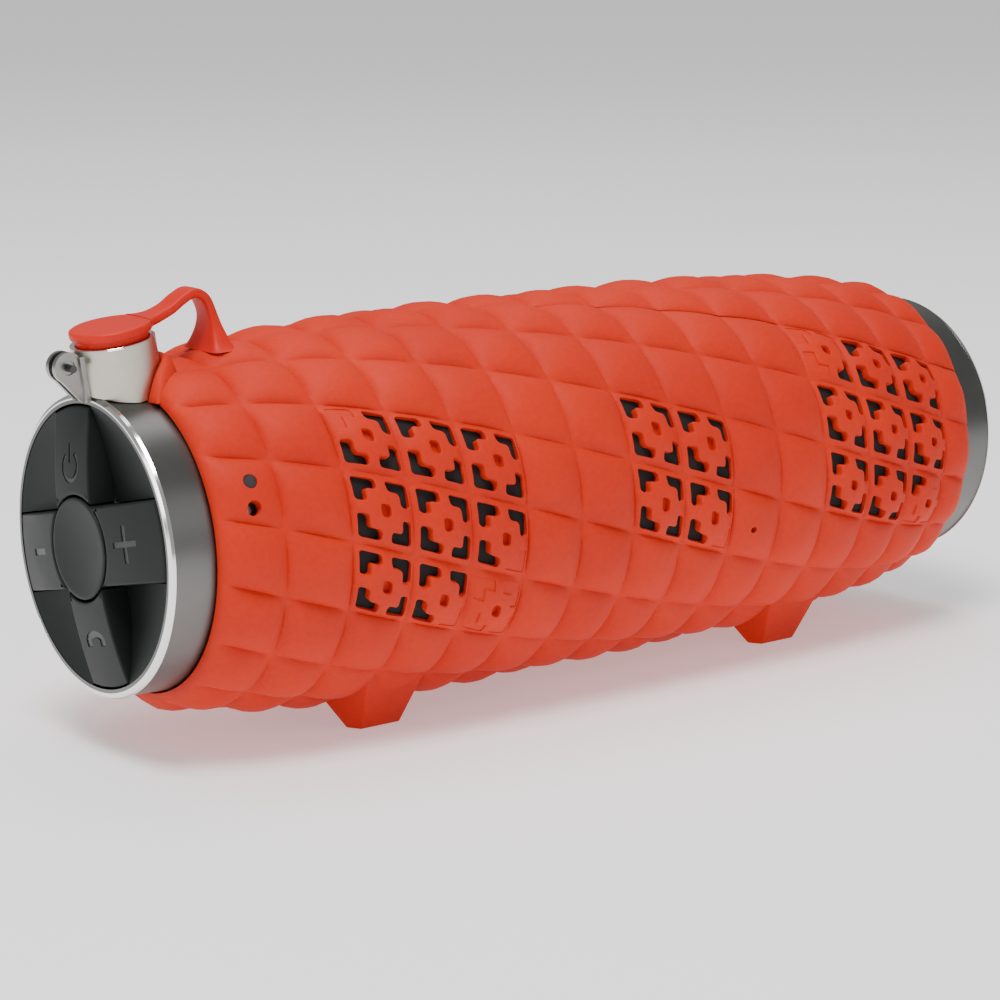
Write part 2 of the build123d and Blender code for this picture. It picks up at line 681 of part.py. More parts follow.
def strap_lugs():
    """Two ears on the collar's front that carry the pin."""
    base = tube(-COLLAR_TOP, COLLAR_TOP - 1.0, COLLAR_RADIUS + 1.0, COLLAR_RADIUS + 0.02)
    base &= block(-12, 0, -2.6, 2.6, -9, 9)
    lugs = base
    for side in (-1, 1):
        middle = side * (LUG_GAP + LUG_WALL) / 2
        eye = Pos(-LUG_REACH, LUG_RISE) * Circle(LUG_RADIUS)
        web = make_face(Polyline(
            (-LUG_REACH, LUG_RISE + LUG_RADIUS), (-COLLAR_RADIUS - 0.4, COLLAR_TOP - 1.0),
            (-COLLAR_RADIUS - 0.4, -COLLAR_TOP), (-COLLAR_RADIUS - 1.2, -COLLAR_TOP),
            (-LUG_REACH - LUG_RADIUS * 0.95, LUG_RISE - LUG_RADIUS * 0.3),
            (-LUG_REACH, LUG_RISE + LUG_RADIUS)))
        ear = extrude(Plane.XZ * (eye + web), LUG_WALL)
        lugs += Pos(0, middle + LUG_WALL / 2, 0) * ear
    drill = Plane.XZ * (Pos(-LUG_REACH, LUG_RISE) * Circle(PIN_DIAMETER / 2 + 0.03))
    sink = Plane.XZ * (Pos(-LUG_REACH, LUG_RISE) * Circle(PIN_DIAMETER))
    lugs -= Pos(0, 10, 0) * extrude(drill, 20)
    lugs -= Pos(0, -LUG_GAP / 2 - LUG_WALL + 0.4, 0) * extrude(sink, 5)
    lugs -= tube(-9, 9, COLLAR_RADIUS + 0.02)
    return local(lugs)


def lug_pin():
    end = LUG_GAP / 2 + LUG_WALL
    shape = Plane.XZ * (Pos(-LUG_REACH, LUG_RISE) * Circle(PIN_DIAMETER / 2))
    return local(Pos(0, end + 0.4, 0) * extrude(shape, 2 * end + 0.4 + PIN_PROUD))


# ----------------------------------------------------------------- drivers and radiator
def turned(points):
    """Solid of revolution about local Z from (radius, height) points."""
    return revolve(Plane.XZ * make_face(Polyline(*points, points[0])), Axis.Z)


def driver_frame(name):
    frame, distance, _ = seat(name)
    return frame.offset(distance + DRIVER_SEAT_WALL)


def basket(name):
    """Pressed frame with four windows in its cone."""
    throat = DRIVER_RADIUS - 4.0
    collar = COIL_RADIUS + 1.2
    body = turned([
        (throat, 0), (DRIVER_RADIUS, 0), (DRIVER_RADIUS, DRIVER_FLANGE), (throat - 0.4, DRIVER_FLANGE),
        (throat - 0.7, 0.4), (throat - 7.0, -8.6), (collar, -8.6), (collar, -9.8), (throat - 6.2, -9.8),
    ])
    for k in range(4):
        body -= Rot(0, 0, 90 * k + 45) * (Pos(throat - 4.0, 0, -5.0) * Box(7.5, 11.0, 5.0))
    return driver_frame(name) * body


def magnet(name):
    return driver_frame(name) * tube(-DRIVER_DEPTH + 4.0, -11.8, MAGNET_RADIUS, COIL_RADIUS + 2.5)


def top_plate(name):
    return driver_frame(name) * tube(-11.8, -9.8, MAGNET_RADIUS - 1, COIL_RADIUS + 0.8)


def yoke(name):
    """Back plate with the pole that the coil rides over."""
    back = -DRIVER_DEPTH + 2.0
    plate = tube(back, back + 2.0, MAGNET_RADIUS - 1)
    pole = tube(back, -9.8, COIL_RADIUS - 0.9)
    return driver_frame(name) * (plate + pole)


def cone(name):
    """Cone, dust cap and coil former, which move together."""
    inner = COIL_RADIUS - 0.3
    outer = COIL_RADIUS + 0.3
    former = tube(-14.6, -5.6, outer, inner)
    paper = turned([(inner, -6.6), (outer, -6.6), (CONE_RADIUS, 0.6), (CONE_RADIUS, 1.2), (inner, -5.6)])
    cap_height = 2.4
    cap_radius = (outer ** 2 + cap_height ** 2) / (2 * cap_height)
    cap = Pos(0, 0, -5.6 + cap_height - cap_radius) * Sphere(cap_radius)
    cap &= tube(-5.6, 0, outer)
    return driver_frame(name) * (former + paper + cap)


def roll(name, inside, outside, height, wall):
    """Half-roll rubber surround between a cone's rim and its frame."""
    middle = (inside + outside) / 2
    half = (outside - inside) / 2
    ring = Torus(middle, half) - Torus(middle, half - wall)
    ring &= tube(0, half + 1, outside + 1)
    return driver_frame(name).offset(height) * ring


def damper(name):
    """Flat cloth disc that centres the coil."""
    return driver_frame(name) * tube(-8.2, -7.7, 13.2, COIL_RADIUS + 0.35)


def retaining_ring(name):
    radius = RADIATOR_RADIUS if name == "middle" else DRIVER_RADIUS
    return driver_frame(name) * tube(DRIVER_FLANGE, DRIVER_FLANGE + RETAINING_WALL, radius, radius - 2.4)


def radiator_frame():
    return driver_frame("middle") * tube(0, DRIVER_FLANGE, RADIATOR_RADIUS, RADIATOR_RADIUS - 3.5)


def radiator_plate():
    """Stiff plate of the passive radiator with its weight behind it."""
    face = tube(0.6, 2.2, RADIATOR_RADIUS - 8.2)
    return driver_frame("middle") * (face + tube(-2.4, 0.6, 7.5))


# ------------------------------------------------------------------- battery and boards
BATTERY_Y = 16.2
CRADLE_BACK = BATTERY_Y + CELL_DIAMETER / 2 + 1.8
BOARD_BACK_Y = BOARD_Y + BOARD_WALL


def cell(z):
    body = Pos(0, BATTERY_Y, z) * disc_x(-CELL_LENGTH / 2, CELL_LENGTH / 2 - 1.5, CELL_DIAMETER / 2)
    button = Pos(0, BATTERY_Y, z) * disc_x(CELL_LENGTH / 2 - 1.5, CELL_LENGTH / 2, 3.2)
    return body + button


def battery_cells():
    return [cell(-CELL_SPACING / 2), cell(CELL_SPACING / 2)]


def battery_cradle():
    """Cradle behind the cells, on four posts that rest on the rear half."""
    half_x = CELL_LENGTH / 2 + 2.5
    half_z = CELL_SPACING / 2 + CELL_DIAMETER / 2 + 1.2
    cradle = block(-half_x, half_x, BATTERY_Y + 1.0, CRADLE_BACK, -half_z, half_z)
    for z in (-CELL_SPACING / 2, CELL_SPACING / 2):
        room = disc_x(-CELL_LENGTH / 2 - 0.5, CELL_LENGTH / 2 + 0.5, CELL_DIAMETER / 2 + GAP)
        cradle -= Pos(0, BATTERY_Y, z) * room
    for x in (-half_x + 5, half_x - 5):
        for z in (-half_z + 6, half_z - 6):
            foot_plane = Plane(origin=(x, CRADLE_BACK - 0.5, z), x_dir=(1, 0, 0), z_dir=(0, 1, 0))
            post = foot_plane * tube(0, 40, 3.0)
            cradle += post & barrel(INNER_INSET + 0.05)
    return cradle


def battery_pad():
    """Foam between the main board and the cells."""
    return block(-28, 28, BOARD_BACK_Y + 0.1, BATTERY_Y - CELL_DIAMETER / 2 - 0.1, -17, 17)


def main_board():
    half_x = BOARD_LENGTH / 2
    half_z = BOARD_HEIGHT / 2
    board = block(-half_x, half_x, BOARD_Y, BOARD_BACK_Y, -half_z, half_z)
    for x in (-BOSS_X, BOSS_X):
        for z in (-BOSS_Z, BOSS_Z):
            board -= Plane.XZ * (Pos(x, z) * Cylinder(SCREW_RADIUS + GAP, 20))
    return board


def board_screws():
    screws = []
    for x in (-BOSS_X, BOSS_X):
        for z in (-BOSS_Z, BOSS_Z):
            frame = Plane(origin=(x, BOARD_Y, z), x_dir=(1, 0, 0), z_dir=(0, -1, 0))
            screws.append(frame * screw(7.0))
    return screws


def on_board(x, z, width, height, thickness):
    """Component on the board's front."""
    return block(x - width / 2, x + width / 2, BOARD_Y - thickness, BOARD_Y, z - height / 2, z + height / 2)


def capacitors():
    """Four upright reservoir capacitors on the board's front."""
    frame = Plane(origin=(0, BOARD_Y, 0), x_dir=(1, 0, 0), z_dir=(0, -1, 0))
    return [frame * (Pos(x, 0, 0) * tube(0, 7.5, 3.15)) for x in (-20, -12, -4, 4)]


def keypad_ribbon():
    """Flat cable from the keypad board to the main board."""
    return block(-BOARD_BACK, -BOARD_LENGTH / 2 + 6, BOARD_Y - 0.3, BOARD_Y, -14, -4)


# -------------------------------------------------------------------- light, microphone
def light_guide():
    top = outer_radius(hole_x("light")) - 0.4
    body = round_hole("light", HOLE_DIAMETER / 2 - 0.1, top - 7, top)
    return body


MICROPHONE_RADIUS = 1.0


def microphone():
    top = outer_radius(hole_x("microphone")) - HOUSING_INSET
    return round_hole("microphone", MICROPHONE_RADIUS, top - 2.4, top - 0.8)


def microphone_boot():
    """Rubber boot that seals the microphone in the housing's hole."""
    top = outer_radius(hole_x("microphone")) - HOUSING_INSET
    boot = round_hole("microphone", HOLE_DIAMETER / 2 + GAP / 2, top - 2.6, top - 0.6)
    return boot - round_hole("microphone", MICROPHONE_RADIUS + 0.02, top - 2.4, top + 1)


def parts():
    """Every named piece in barrel coordinates."""
    made = {
        "silicone_sleeve": sleeve(),
        "housing_front": shell_half(-1),
        "housing_back": housing_back(),
        "housing_screws": housing_screws(),
        "front_band": band(-1),
        "rear_band": band(1),
        "band_screws": band_screws(-1) + band_screws(1),
        "keypad_frame": end_frame(-1),
        "rear_frame": end_frame(1),
        "keypad_board": keypad_board(),
        "keypad_screws": keypad_screws(),
        "tact_switches": tact_switches(),
        "keypad_dish": keypad_dish(),
        "play_key": centre_key(),
        "rear_pad": rear_pad(),
        "port_collar": port_collar(),
        "strap_lugs": strap_lugs(),
        "lug_pin": lug_pin(),
        "port_insert": port_insert(),
        "charge_socket": charge_socket(),
        "audio_socket": audio_socket(),
        "port_board": port_board(),
        "port_cap": port_cap(),
        "cap_strap": cap_strap(),
        "radiator_frame": radiator_frame(),
        "radiator_plate": radiator_plate(),
        "radiator_surround": roll("middle", RADIATOR_RADIUS - 8.1, RADIATOR_RADIUS - 2.6,
                                  DRIVER_FLANGE, 0.6),
        "radiator_ring": retaining_ring("middle"),
        "driver_rings": [retaining_ring("left"), retaining_ring("right")],
        "battery_cells": battery_cells(),
        "battery_cradle": battery_cradle(),
        "battery_pad": battery_pad(),
        "main_board": main_board(),
        "board_screws": board_screws(),
        "capacitors": capacitors(),
        "bluetooth_module": on_board(28, 14, 18, 13, 2.4),
        "amplifier_chip": on_board(28, -8, 10, 10, 1.4),
        "keypad_ribbon": keypad_ribbon(),
        "light_guide": light_guide(),
        "microphone": microphone(),
        "microphone_boot": microphone_boot(),
    }
    for name in ARMS:
        made[name] = arm_key(name)
    for side in ("left", "right"):
        made[f"{side}_driver_basket"] = basket(side)
        made[f"{side}_driver_magnet"] = magnet(side)
        made[f"{side}_driver_yoke"] = [yoke(side), top_plate(side)]
        made[f"{side}_driver_cone"] = cone(side)
        made[f"{side}_driver_surround"] = roll(side, CONE_RADIUS + 0.1, DRIVER_RADIUS - 2.5,
                                               DRIVER_FLANGE, 0.6)
        made[f"{side}_driver_damper"] = damper(side)
    for name in WINDOWS:
        made[f"{name}_sound_cloth"] = sound_cloth(name)
    return made


def write(name, shape):
    """Move a piece to the row's frame and write it."""
    pieces = shape if isinstance(shape, list) else [shape]
    solids = [solid for piece in pieces for solid in piece.solids()]
    group = Location((ROW_SHIFT_X, 0, AXIS_Z)) * Compound(solids)
    export_step(group, f"parts/{name}.step")


os.makedirs("parts", exist_ok=True)
for part_name, part_shape in parts().items():
    write(part_name, part_shape)
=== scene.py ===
"""Portable bluetooth speaker: a quilted silicone barrel with metal bands, a keypad and a capped collar."""

import logging
from dataclasses import dataclass
from enum import Enum
from math import atan2, cos, floor, hypot, pi, radians, sin, sqrt
from typing import Optional, Sequence

import bmesh
import bpy
from mathutils import Matrix, Vector


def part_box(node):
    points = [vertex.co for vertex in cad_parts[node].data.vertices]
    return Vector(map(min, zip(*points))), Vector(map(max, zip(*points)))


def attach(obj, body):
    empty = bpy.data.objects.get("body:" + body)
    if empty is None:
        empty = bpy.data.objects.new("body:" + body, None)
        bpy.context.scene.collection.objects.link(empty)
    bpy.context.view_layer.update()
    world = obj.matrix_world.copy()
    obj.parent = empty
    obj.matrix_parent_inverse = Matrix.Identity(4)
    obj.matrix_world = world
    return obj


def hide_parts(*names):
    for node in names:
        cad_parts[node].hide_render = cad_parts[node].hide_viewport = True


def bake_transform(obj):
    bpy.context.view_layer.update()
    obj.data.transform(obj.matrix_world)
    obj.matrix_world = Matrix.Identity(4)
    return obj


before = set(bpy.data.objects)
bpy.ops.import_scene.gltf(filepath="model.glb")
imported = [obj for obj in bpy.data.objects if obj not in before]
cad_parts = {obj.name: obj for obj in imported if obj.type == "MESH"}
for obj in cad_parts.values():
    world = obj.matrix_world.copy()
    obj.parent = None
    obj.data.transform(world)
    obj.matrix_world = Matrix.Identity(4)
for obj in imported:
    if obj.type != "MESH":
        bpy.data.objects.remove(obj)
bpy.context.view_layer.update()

LOG = logging.getLogger("speaker")
MM = 0.001
ROOT = "speaker"

Colour = tuple[float, float, float]
Point = tuple[float, float]


# ------------------------------------------------------------------------------ shaders
class Num:
    """A number in a material's node tree that builds Math nodes from Python expressions."""

    def __init__(self, shader: "Shader", socket: bpy.types.NodeSocket) -> None:
        """Wraps one output socket of a shader's tree."""
        self.shader = shader
        self.socket = socket

    def __add__(self, other: "Num | float") -> "Num":
        """Sum."""
        return self.shader.math("ADD", self, other)

    __radd__ = __add__

    def __sub__(self, other: "Num | float") -> "Num":
        """Difference."""
        return self.shader.math("SUBTRACT", self, other)

    def __rsub__(self, other: "Num | float") -> "Num":
        """Difference with the plain number first."""
        return self.shader.math("SUBTRACT", other, self)

    def __mul__(self, other: "Num | float") -> "Num":
        """Product."""
        return self.shader.math("MULTIPLY", self, other)

    __rmul__ = __mul__

    def band(self, low: float, high: float) -> "Num":
        """0 below low, 1 above high and a straight slope between."""
        node = self.shader.node("ShaderNodeMapRange", {"clamp": True}, {
            "Value": self, "From Min": low, "From Max": high, "To Min": 0.0, "To Max": 1.0})
        return Num(self.shader, node.outputs["Result"])


class Shader:
    """One material's node tree, with a principled surface at its end."""

    def __init__(self, name: str) -> None:
        """Starts a material.

        Args:
            name: The material's name.
        """
        self.material = bpy.data.materials.new(name)
        self.material.use_nodes = True
        self.tree = self.material.node_tree
        self.surface = next(n for n in self.tree.nodes if n.type == "BSDF_PRINCIPLED")

    def node(self, kind: str, settings: Optional[dict] = None,
             inputs: Optional[dict] = None) -> bpy.types.Node:
        """Adds a node.

        Args:
            kind: The node's type.
            settings: Its own settings, set first.
            inputs: Values, sockets or numbers for its inputs, by name or index.

        Returns:
            The new node.
        """
        made = self.tree.nodes.new(kind)
        for key, value in (settings or {}).items():
            setattr(made, key, value)
        for key, value in (inputs or {}).items():
            self.feed(made.inputs[key], value)
        return made

    def feed(self, socket: bpy.types.NodeSocket, value: object) -> None:
        """Links or sets one input socket.

        Args:
            socket: the input.
            value: a Num or a socket to link, or a plain value to set.
        """
        if isinstance(value, Num):
            value = value.socket
        if isinstance(value, bpy.types.NodeSocket):
            self.tree.links.new(value, socket)
        else:
            socket.default_value = value

    def math(self, operation: str, *values: "Num | float") -> Num:
        """Adds a Math node for an expression."""
        made = self.node("ShaderNodeMath", {"operation": operation}, dict(enumerate(values)))
        return Num(self, made.outputs[0])

    def place(self) -> bpy.types.NodeSocket:
        """The piece's own coordinates."""
        return self.node("ShaderNodeTexCoord").outputs["Object"]

    def axes(self) -> tuple[Num, Num, Num]:
        """The piece's own coordinates as three numbers."""
        split = self.node("ShaderNodeSeparateXYZ", None, {0: self.place()})
        return tuple(Num(self, split.outputs[k]) for k in range(3))

    def noise(self, scale: float, detail: float = 3.0, stretch: Optional[Point] = None) -> Num:
        """Noise over the piece's own coordinates.

        Args:
            scale: Its frequency, in cycles per metre.
            detail: Octaves.
            stretch: Scale along X and across it, for a grain that runs one way.

        Returns:
            The noise, around 0.5.
        """
        where = self.place()
        if stretch:
            across = (stretch[0], stretch[1], stretch[1])
            where = self.node("ShaderNodeMapping", None, {"Vector": where, "Scale": across}).outputs[0]
        made = self.node("ShaderNodeTexNoise", None, {"Vector": where, "Scale": scale, "Detail": detail})
        return Num(self, made.outputs[0])

    def blend(self, factor: Num, first: Colour, second: Colour) -> bpy.types.NodeSocket:
        """Mixes two colours by a number."""
        made = self.node("ShaderNodeMix", {"data_type": "RGBA"}, {
            "Factor": factor, 6: (*first, 1.0), 7: (*second, 1.0)})
        return made.outputs[2]

    def bump(self, height: Num, depth: float) -> bpy.types.NodeSocket:
        """A bump of a given depth, in metres."""
        made = self.node("ShaderNodeBump", None, {"Height": height, "Distance": depth, "Strength": 1.0})
        return made.outputs[0]

    def close(self, **inputs: object) -> bpy.types.Material:
        """Feeds the surface, underscores standing for spaces in a socket's name."""
        for key, value in inputs.items():
            self.feed(self.surface.inputs[key.replace("_", " ")], value)
        return self.material


@dataclass(frozen=True)
class Finish:
    """A surface with uneven colour, uneven gloss and a fine grain."""

    name: str
    light: Colour
    dark: Colour
    gloss: Point = (0.45, 0.6)
    metallic: float = 0.0
    patch: float = 60.0
    grain: float = 2500.0
    depth: float = 0.00002
    stretch: Optional[Point] = None
    sheen: float = 0.0
    coat: float = 0.0
    specular: float = 0.4

    def material(self) -> bpy.types.Material:
        """Builds the finish as a material."""
        shader = Shader(self.name)
        patches = shader.noise(self.patch, 4.0)
        grain = shader.noise(self.grain, 2.0, self.stretch)
        mask = patches.band(0.3, 0.7)
        low, high = self.gloss
        rough = mask * (high - low) + low + (grain - 0.5) * 0.06
        return shader.close(
            Base_Color=shader.blend(mask, self.dark, self.light), Roughness=rough, Metallic=self.metallic,
            Normal=shader.bump(grain, self.depth), Sheen_Weight=self.sheen, Coat_Weight=self.coat,
            Specular_IOR_Level=self.specular)


@dataclass(frozen=True)
class Silicone:
    """Moulded silicone: dusty and soft, a little deeper in tone in random clouds."""

    name: str
    light: Colour
    dark: Colour
    rough: float = 0.58
    sheen: float = 0.03

    def material(self) -> bpy.types.Material:
        """Builds the silicone as a material."""
        shader = Shader(self.name)
        cloud = shader.noise(28.0, 5.0)
        dust = shader.noise(900.0, 3.0)
        skin = shader.noise(5200.0, 2.0)
        mask = (cloud * 0.7 + dust * 0.3).band(0.32, 0.68)
        rough = (1 - mask) * 0.08 + self.rough + (dust - 0.5) * 0.1
        return shader.close(
            Base_Color=shader.blend(mask, self.dark, self.light), Roughness=rough,
            Normal=shader.bump(skin * 0.6 + dust * 0.4, 0.00003), Sheen_Weight=self.sheen,
            Sheen_Roughness=0.45, Sheen_Tint=(1.0, 0.5, 0.35, 1.0), Specular_IOR_Level=0.22)


@dataclass(frozen=True)
class Weave:
    """Woven cloth in two thread directions."""

    name: str
    light: Colour
    dark: Colour
    pitch: float = 0.0006
    rough: float = 0.9

    def material(self) -> bpy.types.Material:
        """Builds the weave as a material."""
        shader = Shader(self.name)
        along, across, up = shader.axes()
        turn = 2 * pi / self.pitch
        warp = shader.math("SINE", along * turn)
        weft = shader.math("SINE", (up + across * 0.4) * turn)
        cloth = (warp * weft) * 0.5 + 0.5
        fuzz = shader.noise(1800.0, 2.0)
        return shader.close(
            Base_Color=shader.blend(cloth * fuzz, self.dark, self.light),
            Roughness=fuzz * 0.1 + (self.rough - 0.05),
            Normal=shader.bump(cloth, 0.0001), Specular_IOR_Level=0.08)


@dataclass(frozen=True)
class CircuitBoard:
    """Green solder mask with paler copper tracks under it."""

    name: str
    mask: Colour
    track: Colour
    pitch: float = 0.0022

    def material(self) -> bpy.types.Material:
        """Builds the board's surface as a material."""
        shader = Shader(self.name)
        cells = shader.node("ShaderNodeTexBrick", None, {
            "Vector": shader.place(), "Scale": 1.0 / (self.pitch * 4), "Mortar Size": 0.02})
        line = Num(shader, cells.outputs["Fac"])
        grain = shader.noise(1500.0, 2.0)
        return shader.close(
            Base_Color=shader.blend(line, self.mask, self.track), Roughness=grain * 0.15 + 0.25,
            Normal=shader.bump(line + grain * 0.2, 0.00003))


class Look(Enum):
    """Every finish on the speaker."""

    SLEEVE = Silicone("sleeve_silicone", (0.66, 0.027, 0.003), (0.54, 0.016, 0.002))
    CAP = Silicone("cap_silicone", (0.66, 0.014, 0.003), (0.54, 0.009, 0.002), 0.42, 0.05)
    KEYPAD = Finish("keypad_rubber", (0.009, 0.0125, 0.0115), (0.006, 0.008, 0.0075), (0.44, 0.54),
                    grain=3200.0, specular=0.25)
    SYMBOL = Finish("key_symbol", (0.045, 0.052, 0.050), (0.028, 0.032, 0.031), (0.35, 0.45), grain=3200.0)
    BAND = Finish("gunmetal_band", (0.185, 0.185, 0.178), (0.13, 0.13, 0.126), (0.30, 0.38), 1.0,
                  25.0, 900.0, 0.000004, (8.0, 0.6))
    RIM = Finish("polished_rim", (0.93, 0.93, 0.92), (0.85, 0.85, 0.84), (0.06, 0.14), 1.0,
                 40.0, 1500.0, 0.000002)
    COLLAR = Finish("satin_nickel", (0.60, 0.565, 0.49), (0.47, 0.44, 0.37), (0.24, 0.40), 1.0,
                    120.0, 1600.0, 0.00001)
    LUG = Finish("satin_steel", (0.40, 0.39, 0.37), (0.28, 0.27, 0.25), (0.28, 0.42), 1.0,
                 160.0, 1800.0, 0.00001)
    PIN = Finish("dark_pin", (0.10, 0.10, 0.10), (0.05, 0.05, 0.05), (0.30, 0.45), 1.0)
    HOUSING = Finish("housing_plastic", (0.045, 0.045, 0.048), (0.032, 0.032, 0.034), (0.55, 0.7))
    PLASTIC = Finish("black_plastic", (0.022, 0.022, 0.022), (0.014, 0.014, 0.014), (0.4, 0.55))
    SCREW = Finish("zinc_screw", (0.62, 0.62, 0.62), (0.45, 0.45, 0.46), (0.25, 0.4), 1.0, 300.0)
    STEEL = Finish("plated_steel", (0.52, 0.52, 0.53), (0.38, 0.38, 0.40), (0.25, 0.4), 1.0, 150.0)
    SOCKET = Finish("socket_shell", (0.68, 0.68, 0.67), (0.55, 0.55, 0.54), (0.2, 0.32), 1.0, 300.0)
    FERRITE = Finish("ferrite", (0.060, 0.060, 0.066), (0.035, 0.035, 0.040), (0.55, 0.75), 0.0, 200.0)
    BASKET = Finish("black_steel", (0.035, 0.035, 0.036), (0.022, 0.022, 0.023), (0.3, 0.42), 0.2)
    SURROUND = Finish("surround_rubber", (0.020, 0.020, 0.020), (0.012, 0.012, 0.012), (0.5, 0.65))
    CELL = Finish("cell_wrap", (0.05, 0.14, 0.42), (0.03, 0.09, 0.30), (0.2, 0.3), 0.0, 80.0)
    FOAM = Finish("foam_pad", (0.045, 0.045, 0.045), (0.018, 0.018, 0.018), (0.9, 1.0), 0.0,
                  900.0, 1200.0, 0.0003)
    CAN = Finish("drawn_can", (0.66, 0.66, 0.68), (0.52, 0.52, 0.55), (0.22, 0.34), 1.0, 400.0)
    CHIP = Finish("chip_resin", (0.024, 0.024, 0.026), (0.016, 0.016, 0.018), (0.45, 0.6))
    RIBBON = Finish("flat_cable", (0.55, 0.26, 0.06), (0.42, 0.18, 0.035), (0.18, 0.3), 0.0,
                    200.0, 700.0, 0.00003, (0.2, 6.0))
    LENS = Finish("light_lens", (0.05, 0.04, 0.04), (0.02, 0.015, 0.015), (0.12, 0.2), 0.0, 500.0)
    PAPER = Finish("cone_paper", (0.045, 0.045, 0.045), (0.025, 0.025, 0.025), (0.7, 0.85), 0.0,
                   300.0, 1500.0, 0.00008)
    DAMPER = Weave("damper_cloth", (0.42, 0.27, 0.09), (0.22, 0.13, 0.04))
    CLOTH = Weave("sound_cloth", (0.005, 0.004, 0.004), (0.001, 0.001, 0.001))
    BOARD = CircuitBoard("circuit_board", (0.008, 0.085, 0.035), (0.02, 0.15, 0.06))

    def material(self) -> bpy.types.Material:
        """The finish's material, made once."""
        return bpy.data.materials.get(self.value.name) or self.value.material()


# ----------------------------------------------------------------------- mesh helpers
def finish_mesh(bm: bmesh.types.BMesh, name: str, look: Look, body: str = ROOT,
                replaces: Sequence[str] = (), sharp: float = 38.0) -> bpy.types.Object:
    """Closes a mesh, makes it an object and puts it on its body.

    Args:
        bm: The mesh, in metres, in the row's frame.
        name: The piece's name.
        look: Its finish.
        body: The CAD body that it rides on.
        replaces: The CAD nodes that it stands for.
        sharp: Edges that turn by more than this many degrees stay crisp.

    Returns:
        The new object.
    """
    bmesh.ops.remove_doubles(bm, verts=bm.verts[:], dist=1e-7)
    bmesh.ops.recalc_face_normals(bm, faces=bm.faces[:])
    for edge in bm.edges:
        edge.smooth = not edge.is_manifold or edge.calc_face_angle(0.0) < radians(sharp)
    for face in bm.faces:
        face.smooth = True
    mesh = bpy.data.meshes.new(name)
    bm.to_mesh(mesh)
    bm.free()
    piece = bpy.data.objects.new(name, mesh)
    bpy.context.scene.collection.objects.link(piece)
    mesh.materials.append(look.material())
    if body:
        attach(piece, body)
    if replaces:
        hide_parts(*replaces)
    LOG.info("%s: %d faces", name, len(mesh.polygons))
    return piece


def lined_grid(bm: bmesh.types.BMesh, columns: Sequence[float], rows: Sequence[float]) -> None:
    """Adds a flat grid whose lines lie at the given places.

    Args:
        bm: The mesh to add to, empty so far.
        columns: Places of the lines across X, rising.
        rows: Places of the lines across Y, rising.
    """
    bmesh.ops.create_grid(bm, x_segments=len(columns) - 1, y_segments=len(rows) - 1, size=1.0)
    for vert in bm.verts:
        i = round((vert.co.x + 1) / 2 * (len(columns) - 1))
        j = round((vert.co.y + 1) / 2 * (len(rows) - 1))
        vert.co = (columns[i], rows[j], 0.0)


def thicken(bm: bmesh.types.BMesh, depth: float) -> None:
    """Gives a flat sheet a thickness below it, with walls round every hole."""
    grown = bmesh.ops.extrude_face_region(bm, geom=bm.faces[:])
    for item in grown["geom"]:
        if isinstance(item, bmesh.types.BMVert):
            item.co.z -= depth
    bmesh.ops.recalc_face_normals(bm, faces=bm.faces[:])


def round_off(bm: bmesh.types.BMesh, edges: Sequence[bmesh.types.BMEdge], width: float,
              segments: int) -> None:
    """Rounds edges."""
    bmesh.ops.bevel(bm, geom=list(edges), offset=width, segments=segments, profile=0.5, affect="EDGES",
                    material=-1, clamp_overlap=True)


def turned(outline: Sequence[Point], placed: Matrix, steps: int = 96,
           angle: float = 2 * pi) -> bmesh.types.BMesh:
    """A closed outline of (radius, height) points spun about Z.

    Args:
        outline: The points of the section, in metres.
        placed: Where the spun solid goes.
        steps: Segments round the turn.
        angle: How far it turns.

    Returns:
        The new mesh.
    """
    bm = bmesh.new()
    verts = [bm.verts.new((r, 0.0, z)) for r, z in outline]
    edges = [bm.edges.new((verts[i], verts[(i + 1) % len(verts)])) for i in range(len(verts))]
    full = angle > 2 * pi - 1e-6
    if not full:
        edges.append(bm.faces.new(verts))
    bmesh.ops.spin(bm, geom=verts + edges, cent=(0, 0, 0), axis=(0, 0, 1), angle=angle, steps=steps,
                   use_merge=full)
    bmesh.ops.remove_doubles(bm, verts=bm.verts[:], dist=1e-7)
    bmesh.ops.transform(bm, matrix=placed, verts=bm.verts[:])
    return bm


def cut(piece: bpy.types.Object, cutter: bmesh.types.BMesh) -> None:
    """Cuts a closed shape out of a piece for good.

    Args:
        piece: the object that is cut.
        cutter: the closed shape, freed here.
    """
    mesh = bpy.data.meshes.new("cutter")
    bmesh.ops.recalc_face_normals(cutter, faces=cutter.faces[:])
    cutter.to_mesh(mesh)
    cutter.free()
    tool = bpy.data.objects.new("cutter", mesh)
    bpy.context.scene.collection.objects.link(tool)
    step = piece.modifiers.new("cut", "BOOLEAN")
    step.operation = "DIFFERENCE"
    step.solver = "EXACT"
    step.use_self = True
    step.object = tool
    bpy.context.view_layer.update()
    result = bpy.data.meshes.new_from_object(piece.evaluated_get(bpy.context.evaluated_depsgraph_get()))
    piece.modifiers.clear()
    piece.data = result
    bpy.data.objects.remove(tool)
    bpy.data.meshes.remove(mesh)


